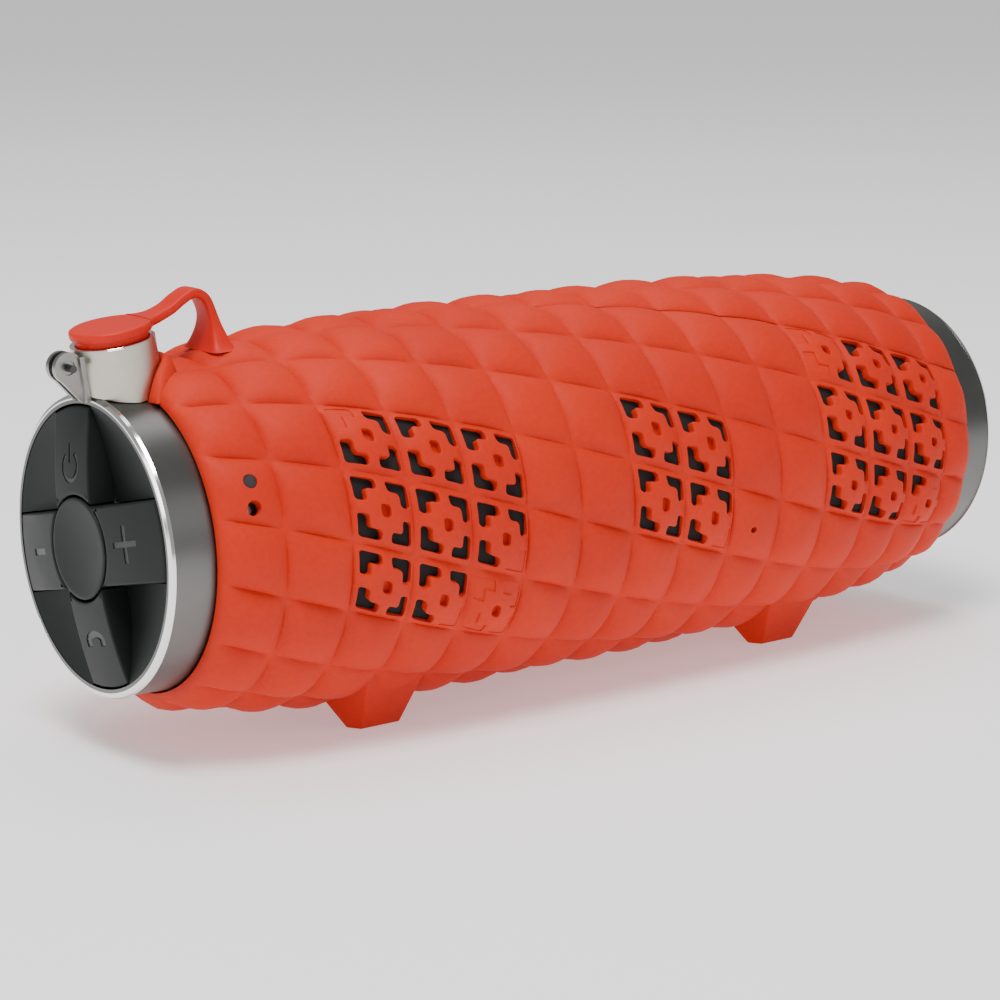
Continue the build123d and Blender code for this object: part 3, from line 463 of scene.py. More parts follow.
# --------------------------------------------------------------------------- the barrel
@dataclass(frozen=True)
class Barrel:
    """The sleeve's outside, read from the frame, and its quilt."""

    centre: Vector
    half: float
    radius: float
    band: float
    drop: float = 7.2 * MM
    shoulder_drop: float = 1.16 * MM
    roll: float = 4.1 * MM
    columns: float = 14.603
    shift: float = 1.82 * MM
    rows: int = 16
    twist: float = -6.717
    phase: float = 11.8
    middle: float = 6.5
    seam: float = 2.3 * MM
    wall: float = 2.55 * MM
    last_line: int = 13

    @classmethod
    def from_frame(cls) -> "Barrel":
        """Reads the sleeve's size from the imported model."""
        low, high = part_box("silicone_sleeve")
        radius = (high.y - low.y) / 2
        centre = Vector(((low.x + high.x) / 2, 0.0, high.z - radius))
        band_low, band_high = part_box("rear_band")
        return cls(centre, (high.x - low.x) / 2, radius, (band_high.y - band_low.y) / 2)

    @property
    def pitch(self) -> float:
        """Length of one quilt cell."""
        return 2 * self.half / self.columns

    @property
    def shoulder(self) -> float:
        """Where the end starts to roll over."""
        return self.half - self.roll

    @property
    def reach(self) -> float:
        """Running length from the middle to the sleeve's lip."""
        return self.shoulder + 6.6 * MM

    def plain_radius(self, x: float) -> float:
        """Radius of the smooth outside at x from the middle."""
        t = (x / self.half) ** 2
        return self.radius - self.shoulder_drop * t - (self.drop - self.shoulder_drop) * t * t

    def skin(self, s: float) -> tuple[float, float, float, float]:
        """The outside at a running length from the middle.

        Args:
            s: Running length, negative towards the keypad.

        Returns:
            X and radius of the point, then X and radial part of the outward normal.
        """
        side = -1.0 if s < 0 else 1.0
        if abs(s) <= self.shoulder:
            step = 0.5 * MM
            slope = (self.plain_radius(s + step) - self.plain_radius(s - step)) / (2 * step)
            size = hypot(slope, 1.0)
            return s, self.plain_radius(s), -slope / size, 1.0 / size
        t = min(1.0, (abs(s) - self.shoulder) / (self.reach - self.shoulder))
        lip = self.band + 0.45 * MM
        start = Vector((self.shoulder, self.plain_radius(self.shoulder)))
        corner = Vector((self.half, self.plain_radius(self.half)))
        end = Vector((self.half, lip))
        first, second = start.lerp(corner, t), corner.lerp(end, t)
        here = first.lerp(second, t)
        along = (second - first).normalized()
        return side * here.x, here.y, side * -along.y, along.x

    def column_at(self, s: float) -> float:
        """Column line count at a running length."""
        return self.middle + (s - self.shift) / self.pitch

    def line_x(self, column: float) -> float:
        """Running length of a column line."""
        return self.shift + (column - self.middle) * self.pitch

    def angle(self, column: float, row: float) -> float:
        """Angle in degrees above -Y at a place of the quilt."""
        return self.phase + self.twist * (column - self.middle) - 360.0 / self.rows * row

    def pillow(self, column: float, row: float) -> float:
        """Depth of the quilted surface under the smooth outside.

        Args:
            column: place along the barrel in quilt cells.
            row: place round the barrel in quilt cells.

        Returns:
            The depth in metres, nothing in the middle of a pillow.
        """
        first, last = self.column_at(-self.reach), self.column_at(self.reach)
        if column < 0:
            a = (column - first) / (0 - first)
        elif column > self.last_line:
            a = (column - self.last_line) / (last - self.last_line)
        else:
            a = column - floor(column)
        b = row - floor(row)
        swell_a = max(0.0, 4 * a * (1 - a)) ** 0.68
        swell_b = max(0.0, 4 * b * (1 - b)) ** 0.68
        depth = self.seam * (1 - swell_a * swell_b)
        over = (abs(self.line_x(column)) - self.shoulder) / (self.reach - self.shoulder)
        fade = 1.0 - max(0.0, min(1.0, over * 1.6 - 0.2))
        return depth * fade

    def wrap(self, column: float, row: float, lift: float = 0.0) -> Vector:
        """A point of the sleeve in the row's frame.

        Args:
            column: Column line count.
            row: Row line count, growing downwards.
            lift: Height above the quilted surface, whose pillows fade to nothing on the inner face.

        Returns:
            The point.
        """
        x, radius, out_x, out_r = self.skin(self.line_x(column))
        share = max(0.0, 1 + lift / self.wall)
        rise = lift - self.pillow(column, row) * share
        a = radians(self.angle(column, row))
        r = radius + out_r * rise
        return self.centre + Vector((x + out_x * rise, -r * cos(a), r * sin(a)))

    def facing(self, x: float, degrees_up: float) -> Matrix:
        """A frame on the axis at x whose Z points out at an angle above -Y.

        Args:
            x: distance along the barrel from its middle.
            degrees_up: angle above level on the front side.

        Returns:
            The frame, its X along the barrel.
        """
        a = radians(degrees_up)
        out = Vector((0.0, -cos(a), sin(a)))
        along = Vector((1.0, 0.0, 0.0))
        up = out.cross(along)
        turn = Matrix((along, up, out)).transposed().to_4x4()
        return Matrix.Translation(self.centre + Vector((x, 0, 0))) @ turn


@dataclass(frozen=True)
class Window:
    """A square of quilt cells with sound slots."""

    name: str
    column: int
    row: int
    cells: int
    shift: float
    turn: float
    opening: float

    def holds(self, column: float, row: float) -> bool:
        """Whether a place of the quilt lies in this window."""
        inside_row = any(self.row < row + k < self.row + self.cells for k in (-16, 0, 16))
        return self.column < column < self.column + self.cells and inside_row


WINDOWS = (
    Window("left", 1, 0, 3, -3.5 * MM, 6.8, 24.6 * MM),
    Window("middle", 6, -1, 2, -2.0 * MM, 4.1, 20.0 * MM),
    Window("right", 10, -3, 3, 0.0, 1.5, 24.6 * MM),
)

# Light, microphone and vent: millimetres along the barrel, degrees above level, radius.
SMALL_HOLES = ((-97.7, 26.9, 1.5), (-97.9, 18.5, 1.5), (28.5, -12.3, 0.75))


@dataclass
class Sleeve:
    """The quilted silicone jacket with its windows, holes and feet."""

    barrel: Barrel
    bar: float = 2.2 * MM
    row_bar: float = 3.0 * MM
    limb: float = 2.4 * MM
    long: float = 5.0 * MM
    tall: float = 5.3 * MM
    recess: float = 1.5 * MM
    blind: float = 0.55 * MM
    weld: float = 0.005 * MM
    corner: float = 0.75 * MM
    lip: float = 0.22 * MM
    foot_x: float = 57.4 * MM
    foot_skew: float = 0.9 * MM
    tread: Point = (14.5 * MM, 17.5 * MM)
    root: Point = (6.5 * MM, 25.0 * MM)
    root_height: Point = (8.0 * MM, 15.0 * MM)
    tread_half: float = 5.0 * MM
    root_half: float = 8.2 * MM

    def build(self) -> None:
        """Builds every piece of the sleeve."""
        self.quilt()
        for window in WINDOWS:
            self.window(window)
        self.feet()

    def quilt(self) -> bpy.types.Object:
        """The quilted skin outside the windows."""
        barrel = self.barrel
        shares = (0.0, 0.035, 0.1, 0.2, 0.35, 0.5, 0.65, 0.8, 0.9, 0.965)
        first, last = barrel.column_at(-barrel.reach), barrel.column_at(barrel.reach)
        lines = [first, *range(0, barrel.last_line + 1), last]
        columns = [a + (b - a) * t for a, b in zip(lines, lines[1:]) for t in shares] + [last]
        rows = [k + t for k in range(barrel.rows) for t in shares] + [barrel.rows]
        bm = bmesh.new()
        lined_grid(bm, columns, [row - 3 for row in rows])
        spare = [f for f in bm.faces if self.in_window(f.calc_center_median())]
        bmesh.ops.delete(bm, geom=spare, context="FACES")
        thicken(bm, barrel.wall)
        for vert in bm.verts:
            vert.co = barrel.wrap(vert.co.x, vert.co.y, vert.co.z)
        self.close_seam(bm)
        piece = finish_mesh(bm, "sleeve_quilt", Look.SLEEVE,
                            replaces=["silicone_sleeve"], sharp=50.0)
        cut(piece, self.cutters())
        return piece

    def close_seam(self, bm: bmesh.types.BMesh) -> None:
        """Welds the first row of cells to the last."""
        bmesh.ops.remove_doubles(bm, verts=bm.verts[:], dist=self.weld)

    def in_window(self, place: Vector) -> bool:
        """Whether a flat grid place lies in any window."""
        return any(window.holds(place.x, place.y) for window in WINDOWS)

    def cutters(self) -> bmesh.types.BMesh:
        """Everything that is cut out of the quilted skin: the collar's notch and three holes."""
        barrel = self.barrel
        notch = Collar.radius + 0.25 * MM
        bm = bmesh.new()
        bmesh.ops.create_cone(bm, cap_ends=True, segments=64, radius1=notch, radius2=notch, depth=24 * MM,
                              matrix=Collar.frame(barrel) @ Matrix.Translation((0, 0, 4 * MM)))
        for x, up, radius in SMALL_HOLES:
            place = barrel.facing(x * MM, up) @ Matrix.Translation((0, 0, barrel.radius * 0.9))
            bmesh.ops.create_cone(bm, cap_ends=True, segments=24, radius1=radius * MM, radius2=radius * MM,
                                  depth=barrel.radius, matrix=place)
        return bm

    def is_open(self, window: Window, column: float, row: float) -> bool:
        """Whether a slot at a place of the quilt lies over the driver's opening.

        Args:
            window: the window that the slot is in.
            column: its place along the barrel in quilt cells.
            row: its place round the barrel in quilt cells.

        Returns:
            True where it is cut through, False where it is a shallow recess.
        """
        barrel = self.barrel
        half = window.cells / 2
        centre_x = barrel.line_x(window.column + half) + window.shift
        centre_angle = barrel.angle(window.column + half, window.row + half) + window.turn
        x = barrel.line_x(column)
        arc = radians(barrel.angle(column, row) - centre_angle) * barrel.plain_radius(x)
        return hypot(x - centre_x, arc) < window.opening

    def window(self, window: Window) -> bpy.types.Object:
        """One window: domed cells, each with four L-shaped slots round a flower.

        Args:
            window: Which window.

        Returns:
            The window's piece.
        """
        barrel = self.barrel
        long_side = barrel.pitch
        middle_x = barrel.line_x(window.column + window.cells / 2)
        tall_side = radians(360.0 / barrel.rows) * barrel.plain_radius(middle_x)
        across = self.cell_lines(long_side, self.bar / 2, self.limb, self.long)
        down = self.cell_lines(tall_side, self.row_bar / 2, self.limb, self.tall)
        count = window.cells
        columns = [k * long_side + a for k in range(count) for a in across] + [count * long_side]
        rows = [k * tall_side + a for k in range(count) for a in down] + [count * tall_side]
        bm = bmesh.new()
        lined_grid(bm, columns, rows)
        edge_u, edge_v = self.bar / 2, self.row_bar / 2
        middle_u, middle_v = (self.bar + self.long) / 2, (self.row_bar + self.tall) / 2
        doomed, pits, dents = [], [], []
        for face in bm.faces:
            place = face.calc_center_median()
            i, j = int(place.x // long_side), int(place.y // tall_side)
            u, v = place.x - i * long_side, place.y - j * tall_side
            side_u, side_v = min(u, long_side - u), min(v, tall_side - v)
            level = edge_u < side_u < edge_u + self.long and edge_v < side_v < edge_v + self.limb
            upright = edge_u < side_u < edge_u + self.limb and edge_v < side_v < edge_v + self.tall
            if level or upright:
                at_u = middle_u if u < long_side / 2 else long_side - middle_u
                at_v = middle_v if v < tall_side / 2 else tall_side - middle_v
                column = window.column + i + at_u / long_side
                row = window.row + j + at_v / tall_side
                (doomed if self.is_open(window, column, row) else dents).append(face)
            elif side_u > edge_u + self.long and side_v > edge_v + self.tall:
                pits.append(face)
        bmesh.ops.delete(bm, geom=doomed, context="FACES")
        top_marks = [(f.calc_center_median().copy(), self.recess) for f in pits]
        top_marks += [(f.calc_center_median().copy(), self.blind) for f in dents]
        thicken(bm, barrel.wall)
        self.sink(bm, top_marks)
        self.soften(bm, count * long_side, count * tall_side)
        for vert in bm.verts:
            column = window.column + vert.co.x / long_side
            row = window.row + vert.co.y / tall_side
            vert.co = barrel.wrap(column, row, vert.co.z)
        return finish_mesh(bm, f"sleeve_window_{window.name}", Look.SLEEVE, sharp=60.0)

    def cell_lines(self, side: float, bar: float, limb: float, long: float) -> list[float]:
        """Grid lines across one cell: at every slot edge, and halfway between them."""
        near = [0.0, bar, bar + limb / 2, bar + limb, bar + (limb + long) / 2, bar + long]
        return near + [side / 2] + [side - a for a in reversed(near[1:])]

    def sink(self, bm: bmesh.types.BMesh, marks: Sequence[tuple[Vector, float]]) -> None:
        """Sinks marked top faces into pits of their own depth.

        Args:
            bm: the flat window, its top at zero height.
            marks: middle and depth of each face that sinks.
        """
        for depth in (self.recess, self.blind):
            spots = {(round(p.x, 6), round(p.y, 6)) for p, d in marks if d == depth}
            faces = []
            for face in bm.faces:
                p = face.calc_center_median()
                if abs(p.z) < 1e-7 and (round(p.x, 6), round(p.y, 6)) in spots:
                    faces.append(face)
            if not faces:
                continue
            grown = bmesh.ops.extrude_face_region(bm, geom=faces)
            for item in grown["geom"]:
                if isinstance(item, bmesh.types.BMVert):
                    item.co.z -= depth
            bmesh.ops.delete(bm, geom=[f for f in faces if f.is_valid], context="FACES_ONLY")

    def soften(self, bm: bmesh.types.BMesh, width: float, height: float) -> None:
        """Rounds the corners and rims of every slot and pit.

        Args:
            bm: the flat window.
            width: its size along the barrel.
            height: its size round the barrel.
        """
        def inside(vert: bmesh.types.BMVert) -> bool:
            """Whether a vertex is away from the window's own border."""
            return 1e-6 < vert.co.x < width - 1e-6 and 1e-6 < vert.co.y < height - 1e-6

        bmesh.ops.recalc_face_normals(bm, faces=bm.faces[:])
        upright = [e for e in bm.edges if abs(e.verts[0].co.z - e.verts[1].co.z) > 0.9 * MM
                   and inside(e.verts[0]) and e.is_manifold and e.calc_face_angle(0.0) > 1.0]
        round_off(bm, upright, self.corner, 3)
        rims = [e for e in bm.edges if abs(e.verts[0].co.z) < 1e-7 and abs(e.verts[1].co.z) < 1e-7
                and inside(e.verts[0]) and inside(e.verts[1])
                and e.is_manifold and e.calc_face_angle(0.0) > 1.0]
        round_off(bm, rims, self.lip, 2)

    def feet(self) -> bpy.types.Object:
        """Four wedge feet that grow out of the belly."""
        barrel = self.barrel
        bm = bmesh.new()
        for x in (-self.foot_x, self.foot_x):
            for side in (-1, 1):
                made = bmesh.ops.create_cube(bm, size=1.0)["verts"]
                for vert in made:
                    low = vert.co.z < 0
                    outer = vert.co.y > 0
                    half = self.tread_half if low else self.root_half
                    skew = self.foot_skew if outer else -self.foot_skew
                    vert.co.x = barrel.centre.x + x + (half if vert.co.x > 0 else -half) + skew
                    vert.co.y = side * (self.tread if low else self.root)[outer]
                    vert.co.z = 0.0 if low else self.root_height[outer]
        round_off(bm, [e for e in bm.edges if min(v.co.z for v in e.verts) < 1e-6], 0.35 * MM, 2)
        return finish_mesh(bm, "sleeve_feet", Look.SLEEVE, sharp=50.0)


# --------------------------------------------------------------------------- end pieces
class Arm(Enum):
    """The four arms of the keypad's cross, by their angle in it."""

    PLUS = ("plus_key", 0.0)
    POWER = ("power_key", 90.0)
    MINUS = ("minus_key", 180.0)
    CALL = ("call_key", 270.0)


# Half widths of each arm in millimetres, beside the centre key and at the rim.
ARM_WIDTHS = {Arm.PLUS: (8.0, 8.2), Arm.MINUS: (8.0, 8.2), Arm.POWER: (6.75, 7.1), Arm.CALL: (6.75, 7.1)}


@dataclass
class Keypad:
    """Rubber keypad: a domed cross of keys in a shallow bowl, round a centre key."""

    barrel: Barrel
    face: float = 0.0
    turn: float = 12.5
    rim: float = 29.1 * MM
    rise: float = 3.5 * MM
    back: float = 3.15 * MM
    centre: float = 10.45 * MM
    gap: float = 0.5 * MM
    bowl: float = 3.3 * MM
    floor: float = 4.7 * MM
    dip: float = 0.7 * MM

    def __post_init__(self) -> None:
        """Reads the band's face and the keypad's rim from the frame."""
        low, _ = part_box("front_band")
        self.face = low.x
        dish_low, dish_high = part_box("keypad_dish")
        self.rim = (dish_high.y - dish_low.y) / 2 - 0.05 * MM

    def frame(self, angle: float = 0.0) -> Matrix:
        """Keypad coordinates: X along an arm, Z out of the face, from the band's plane.

        Args:
            angle: the arm's angle in degrees.

        Returns:
            The frame.
        """
        a = radians(angle + self.turn)
        along = Vector((0.0, -cos(a), sin(a)))
        out = Vector((-1.0, 0.0, 0.0))
        across = out.cross(along)
        turn = Matrix((along, across, out)).transposed().to_4x4()
        return Matrix.Translation(Vector((self.face, self.barrel.centre.y, self.barrel.centre.z))) @ turn

    def dome(self, radius: float) -> float:
        """Height of the cross above the band's plane at a radius."""
        return self.rise * (1 - (radius / self.rim) ** 2)

    def bowl_floor(self, radius: float) -> float:
        """Height of the bowl between the arms at a radius."""
        return -self.bowl * (1 - (radius / self.rim) ** 3) - 0.12 * MM

    def half_width(self, arm: Arm, reach: float) -> float:
        """Half the width of an arm at a distance from the middle.

        Args:
            arm: which arm.
            reach: distance from the keypad's middle.

        Returns:
            The half width in metres.
        """
        waist, edge = ARM_WIDTHS[arm]
        t = max(0.0, (reach - self.centre) / (self.rim - self.centre))
        return (waist + (edge - waist) * t * t) * MM

    def build(self) -> None:
        """Builds the bowl and every key with its symbol."""
        self.bowl_piece()
        self.centre_key()
        for arm in Arm:
            self.arm_key(arm)
            self.symbol(arm)

    def bowl_piece(self) -> bpy.types.Object:
        """The fixed rubber face with the pockets that the keys move in."""
        start = self.centre + self.gap
        rings = [start + (self.rim - start) * k / 14 for k in range(15)]
        outline = [(self.rim, -self.floor), (start, -self.floor)]
        outline += [(start, self.bowl_floor(start) - 0.3 * MM)]
        outline += [(r + 0.25 * MM if k == 0 else r, self.bowl_floor(r)) for k, r in enumerate(rings)]
        bm = turned(outline, Matrix.Identity(4), 128)
        bmesh.ops.transform(bm, matrix=self.frame(), verts=bm.verts[:])
        piece = finish_mesh(bm, "keypad_bowl", Look.KEYPAD,
                            replaces=["keypad_dish"], sharp=40.0)
        for arm in Arm:
            tool = self.arm_solid(arm, -8 * MM, 8 * MM, 0.3 * MM, past=2 * MM, flat=True)
            cut(piece, tool)
        return piece

    def arm_solid(self, arm: Arm, low: float, high: float, slack: float, past: float = 0.0,
                  flat: bool = False) -> bmesh.types.BMesh:
        """An arm's closed shape.

        Args:
            arm: Which arm.
            low: Height of its underside.
            high: Height of its top where it is flat.
            slack: Room added to its sides.
            past: How far it runs beyond the rim and into the centre key.
            flat: Whether the top is flat instead of domed.

        Returns:
            The mesh in the row's frame.
        """
        bm = bmesh.new()
        inner = self.centre + self.gap - past
        outer = self.rim - 0.3 * MM + past
        steps = [k / 20 for k in range(21)]
        across = (-1.0, -0.94, -0.8, -0.6, -0.4, -0.2, 0.0, 0.2, 0.4, 0.6, 0.8, 0.94, 1.0)
        lined_grid(bm, steps, across)
        for vert in bm.verts:
            t, side = vert.co.x, vert.co.y
            middle = inner + (outer - inner) * t
            half = self.half_width(arm, middle) + slack
            y = side * half
            near = sqrt(max(0.0, inner ** 2 - y ** 2))
            far = sqrt(max(0.0, outer ** 2 - y ** 2))
            x = near + (far - near) * t
            top = high if flat else self.dome(hypot(x, y))
            vert.co = (x, y, top)
        grown = bmesh.ops.extrude_face_region(bm, geom=bm.faces[:])
        for item in grown["geom"]:
            if isinstance(item, bmesh.types.BMVert):
                item.co.z = low
        bmesh.ops.recalc_face_normals(bm, faces=bm.faces[:])
        if not flat:
            crown = [e for e in bm.edges if e.calc_face_angle(0.0) > 0.7
                     and min(v.co.z for v in e.verts) > low + 1e-6]
            round_off(bm, crown, 0.45 * MM, 3)
        bmesh.ops.transform(bm, matrix=self.frame(arm.value[1]), verts=bm.verts[:])
        return bm

    def arm_key(self, arm: Arm) -> bpy.types.Object:
        """One arm of the cross."""
        name, _ = arm.value
        bm = self.arm_solid(arm, -self.back, 0.0, 0.0)
        piece = finish_mesh(bm, f"{name}_cover", Look.KEYPAD, f"{name}_body", [name], 35.0)
        self.engrave(piece, arm, 0.3 * MM)
        return piece

    def centre_key(self) -> bpy.types.Object:
        """The round centre key with its hollow face."""
        front = self.dome(self.centre)
        rings = 10
        face = [(self.centre * 0.92 * k / rings, front - self.dip * (1 - (k / rings) ** 2))
                for k in range(rings + 1)]
        edge = [(self.centre * 0.96, front + 0.02 * MM), (self.centre - 0.1 * MM, front - 0.12 * MM),
                (self.centre, front - 0.4 * MM), (self.centre, -self.back), (0.0, -self.back)]
        bm = turned(face + edge, Matrix.Identity(4), 96)
        bmesh.ops.transform(bm, matrix=self.frame(), verts=bm.verts[:])
        return finish_mesh(bm, "play_key_cover", Look.KEYPAD, "play_key_body", ["play_key"], 35.0)

    def symbol_parts(self, arm: Arm) -> list[list[Point]]:
        """Outlines of an arm's symbol in level coordinates, in millimetres, about its own middle.

        Args:
            arm: which arm.

        Returns:
            One closed outline for each stroke.
        """
        def bar(half_x: float, half_y: float, x: float = 0.0, y: float = 0.0) -> list[Point]:
            """A rectangle about a point."""
            left, right, low, high = x - half_x, x + half_x, y - half_y, y + half_y
            return [(left, low), (right, low), (right, high), (left, high)]

        def arc(radius: float, width: float, start: float, end: float, y: float) -> list[Point]:
            """A bent bar between two angles, round a point above or below the middle."""
            turns = [radians(start + (end - start) * k / 24) for k in range(25)]
            large, small = radius + width / 2, radius - width / 2
            outside = [(large * cos(a), y + large * sin(a)) for a in turns]
            return outside + [(small * cos(a), y + small * sin(a)) for a in reversed(turns)]

        if arm is Arm.PLUS:
            return [bar(3.6, 0.6), bar(0.6, 3.8)]
        if arm is Arm.MINUS:
            return [bar(3.0, 0.7)]
        if arm is Arm.POWER:
            return [arc(2.9, 0.9, 125, 415, -0.6), bar(0.45, 2.0, 0.0, 2.1)]
        ends = [bar(0.95, 0.95, x, -1.15) for x in (-2.75, 2.75)]
        return [arc(4.6, 1.5, 52, 128, -4.1)] + ends

    def symbol_solid(self, arm: Arm, low: float, high: float) -> bmesh.types.BMesh:
        """The symbol as upright prisms on its arm, laid on the domed face.

        Args:
            arm: Which arm.
            low: Underside, from the domed face.
            high: Top, from the domed face.

        Returns:
            The mesh in the row's frame.
        """
        reach = {Arm.PLUS: 17.4, Arm.MINUS: 18.0, Arm.POWER: 17.3, Arm.CALL: 18.0}[arm] * MM
        turn = self.frame(arm.value[1])
        level = Matrix.Rotation(-radians(arm.value[1]), 4, "Z")
        bm = bmesh.new()
        for outline in self.symbol_parts(arm):
            verts = [bm.verts.new((x * MM, y * MM, 0.0)) for x, y in outline]
            face = bm.faces.new(verts)
            prism = bmesh.ops.extrude_face_region(bm, geom=[face])
            tops = {v for v in prism["geom"] if isinstance(v, bmesh.types.BMVert)}
            for vert in list(verts) + list(tops):
                flat = level @ vert.co
                x, y = flat.x + reach, flat.y
                lift = high if vert in tops else low
                vert.co = (x, y, self.dome(hypot(x, y)) + lift)
        bmesh.ops.recalc_face_normals(bm, faces=bm.faces[:])
        bmesh.ops.transform(bm, matrix=turn, verts=bm.verts[:])
        return bm

    def engrave(self, piece: bpy.types.Object, arm: Arm, depth: float) -> None:
        """Sinks the arm's symbol into its face."""
        cut(piece, self.symbol_solid(arm, -depth, 1 * MM))

    def symbol(self, arm: Arm) -> bpy.types.Object:
        """The paint in the sunk symbol."""
        bm = self.symbol_solid(arm, -0.34 * MM, -0.2 * MM)
        mesh_name = arm.value[0].replace("_key", "_symbol")
        return finish_mesh(bm, mesh_name, Look.SYMBOL, f"{arm.value[0]}_body", sharp=30.0)


@dataclass
class BandRims:
    """The bright chamfer on each metal end band."""

    barrel: Barrel
    width: float = 0.95 * MM

    def build(self) -> None:
        """Builds both rims."""
        for name, side in (("front", -1), ("rear", 1)):
            self.rim(name, side)

    def rim(self, name: str, side: int) -> bpy.types.Object:
        """One bright ring that caps the band's edge.

        Args:
            name: front or rear.
            side: -1 for the front end, 1 for the rear.

        Returns:
            The ring.
        """
        low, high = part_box(f"{name}_band")
        face = low.x if side < 0 else high.x
        radius = self.barrel.band
        outline = [(radius - 0.28 * MM, -self.width), (radius + 0.02 * MM, -self.width + 0.02 * MM),
                   (radius - 0.28 * MM, -0.30 * MM), (radius - 0.95 * MM, 0.04 * MM),
                   (radius - 1.25 * MM, 0.04 * MM),
                   (radius - 1.3 * MM, -0.1 * MM), (radius - 1.0 * MM, -0.5 * MM)]
        out = Vector((side, 0.0, 0.0))
        turn = out.to_track_quat("Z", "Y").to_matrix().to_4x4()
        place = Matrix.Translation(Vector((face, self.barrel.centre.y, self.barrel.centre.z))) @ turn
        bm = turned(outline, place, 160)
        return finish_mesh(bm, f"{name}_band_rim", Look.RIM, sharp=25.0)


# ----------------------------------------------------------------------- collar and cap
@dataclass
class Collar:
    """What goes with the nickel collar: the cap, its strap, the sleeve's lobe and a polished mouth."""

    barrel: Barrel
    radius: float = 8.65 * MM
    top: float = 5.15 * MM
    cap_radius: float = 8.42 * MM
    cap_low: float = 6.45 * MM
    cap_high: float = 8.43 * MM
    neck: float = 7.48 * MM
    plug: float = 3.5 * MM
    hollow: float = 5.5 * MM
    half_width: float = 2.8 * MM
    thickness: float = 2.1 * MM

    @staticmethod
    def frame(barrel: "Barrel") -> Matrix:
        """The collar's own frame: Z out of its mouth, X towards the barrel's middle."""
        tilt = radians(9.0)
        along = Vector((cos(tilt), 0.0, sin(tilt)))
        out = Vector((-sin(tilt), 0.0, cos(tilt)))
        turn = Matrix((along, out.cross(along), out)).transposed().to_4x4()
        return Matrix.Translation(barrel.centre + Vector((-108 * MM, 0.0, 36.6 * MM))) @ turn

    def build(self) -> None:
        """Builds the cap, the strap, the sleeve's lobe and the collar's polished mouth."""
        self.cap()
        self.strap()
        self.cowl()
        self.mouth_line()

    def cap(self) -> bpy.types.Object:
        """The cap: a slightly crowned disc over a short hollow plug with a seal rib."""
        r, low, high = self.cap_radius, self.cap_low, self.cap_high
        crown = [(r * k / 8, high - 0.12 * MM * (k / 8) ** 2) for k in range(8)]
        outline = crown + [
            (r - 0.45 * MM, high - 0.14 * MM), (r - 0.12 * MM, high - 0.32 * MM), (r, high - 0.62 * MM),
            (r, low + 0.42 * MM), (r - 0.14 * MM, low + 0.12 * MM), (r - 0.45 * MM, low),
            (self.neck, low), (self.neck, self.top - 0.1 * MM),
            (self.neck - 0.15 * MM, self.top - 0.4 * MM),
            (self.neck - 0.5 * MM, self.top - self.plug), (self.hollow, self.top - self.plug),
            (self.hollow, low - 0.2 * MM), (0.0, low - 0.2 * MM)]
        bm = turned(outline, self.frame(self.barrel), 96)
        return finish_mesh(bm, "cap_cover", Look.CAP, "cap", ["port_cap"], 40.0)

    def centre_line(self, t: float) -> tuple[Vector, Vector]:
        """A point and direction of the strap's smooth centre line, in the collar's frame.

        Args:
            t: Share of the way from the cap to the sleeve.

        Returns:
            The point and the unit tangent.
        """
        points = [Vector((x * MM, 0.0, z * MM)) for x, z in (
            (6.6, 7.45), (9.6, 7.5), (13.2, 8.3), (16.4, 9.7), (19.2, 10.35), (21.5, 8.8), (22.5, 5.4),
            (22.5, 1.5), (22.1, -2.2))]
        place = t * (len(points) - 1)
        i = min(int(place), len(points) - 2)
        f = place - i
        a = points[max(i - 1, 0)]
        b, c = points[i], points[i + 1]
        d = points[min(i + 2, len(points) - 1)]
        square, cube = 2 * a - 5 * b + 4 * c - d, 3 * b - a - 3 * c + d
        spot = 0.5 * (2 * b + (c - a) * f + square * f * f + cube * f ** 3)
        lead = 0.5 * ((c - a) + 2 * square * f + 3 * cube * f * f)
        return spot, lead.normalized()

    def strap(self) -> bpy.types.Object:
        """The strap: tapers out of the cap's disc, arches over and flares into the sleeve."""
        bm = bmesh.new()
        rings = 60
        sides = 20
        bmesh.ops.create_cone(bm, cap_ends=True, segments=sides, radius1=1.0, radius2=1.0, depth=1.0)
        walls = [e for e in bm.edges if abs(e.verts[0].co.z - e.verts[1].co.z) > 0.5]
        bmesh.ops.subdivide_edges(bm, edges=walls, cuts=rings - 1, use_grid_fill=True)
        for vert in bm.verts:
            t = vert.co.z + 0.5
            angle = atan2(vert.co.y, vert.co.x)
            spot, lead = self.centre_line(t)
            up = Vector((-lead.z, 0.0, lead.x))
            flare = max(0.0, 1 - t / 0.22) ** 2 * 2.6 * MM + max(0.0, (t - 0.72) / 0.28) ** 2 * 4.2 * MM
            wide = self.half_width + flare
            thick = self.thickness / 2 + max(0.0, (t - 0.7) / 0.3) ** 2 * 2.2 * MM
            c, s = cos(angle), sin(angle)
            side = abs(c) ** 0.35 * (1 if c > 0 else -1) * wide
            lift = abs(s) ** 0.5 * (1 if s > 0 else -1) * thick
            vert.co = spot + Vector((0.0, side, 0.0)) + up * lift
        bmesh.ops.transform(bm, matrix=self.frame(self.barrel), verts=bm.verts[:])
        piece = finish_mesh(bm, "cap_strap_cover", Look.CAP, "", ["cap_strap"], 50.0)
        frame_at = self.frame(self.barrel)
        start = frame_at @ self.centre_line(0.86)[0]
        end = frame_at @ self.centre_line(0.2)[0]
        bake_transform(piece)
        return piece

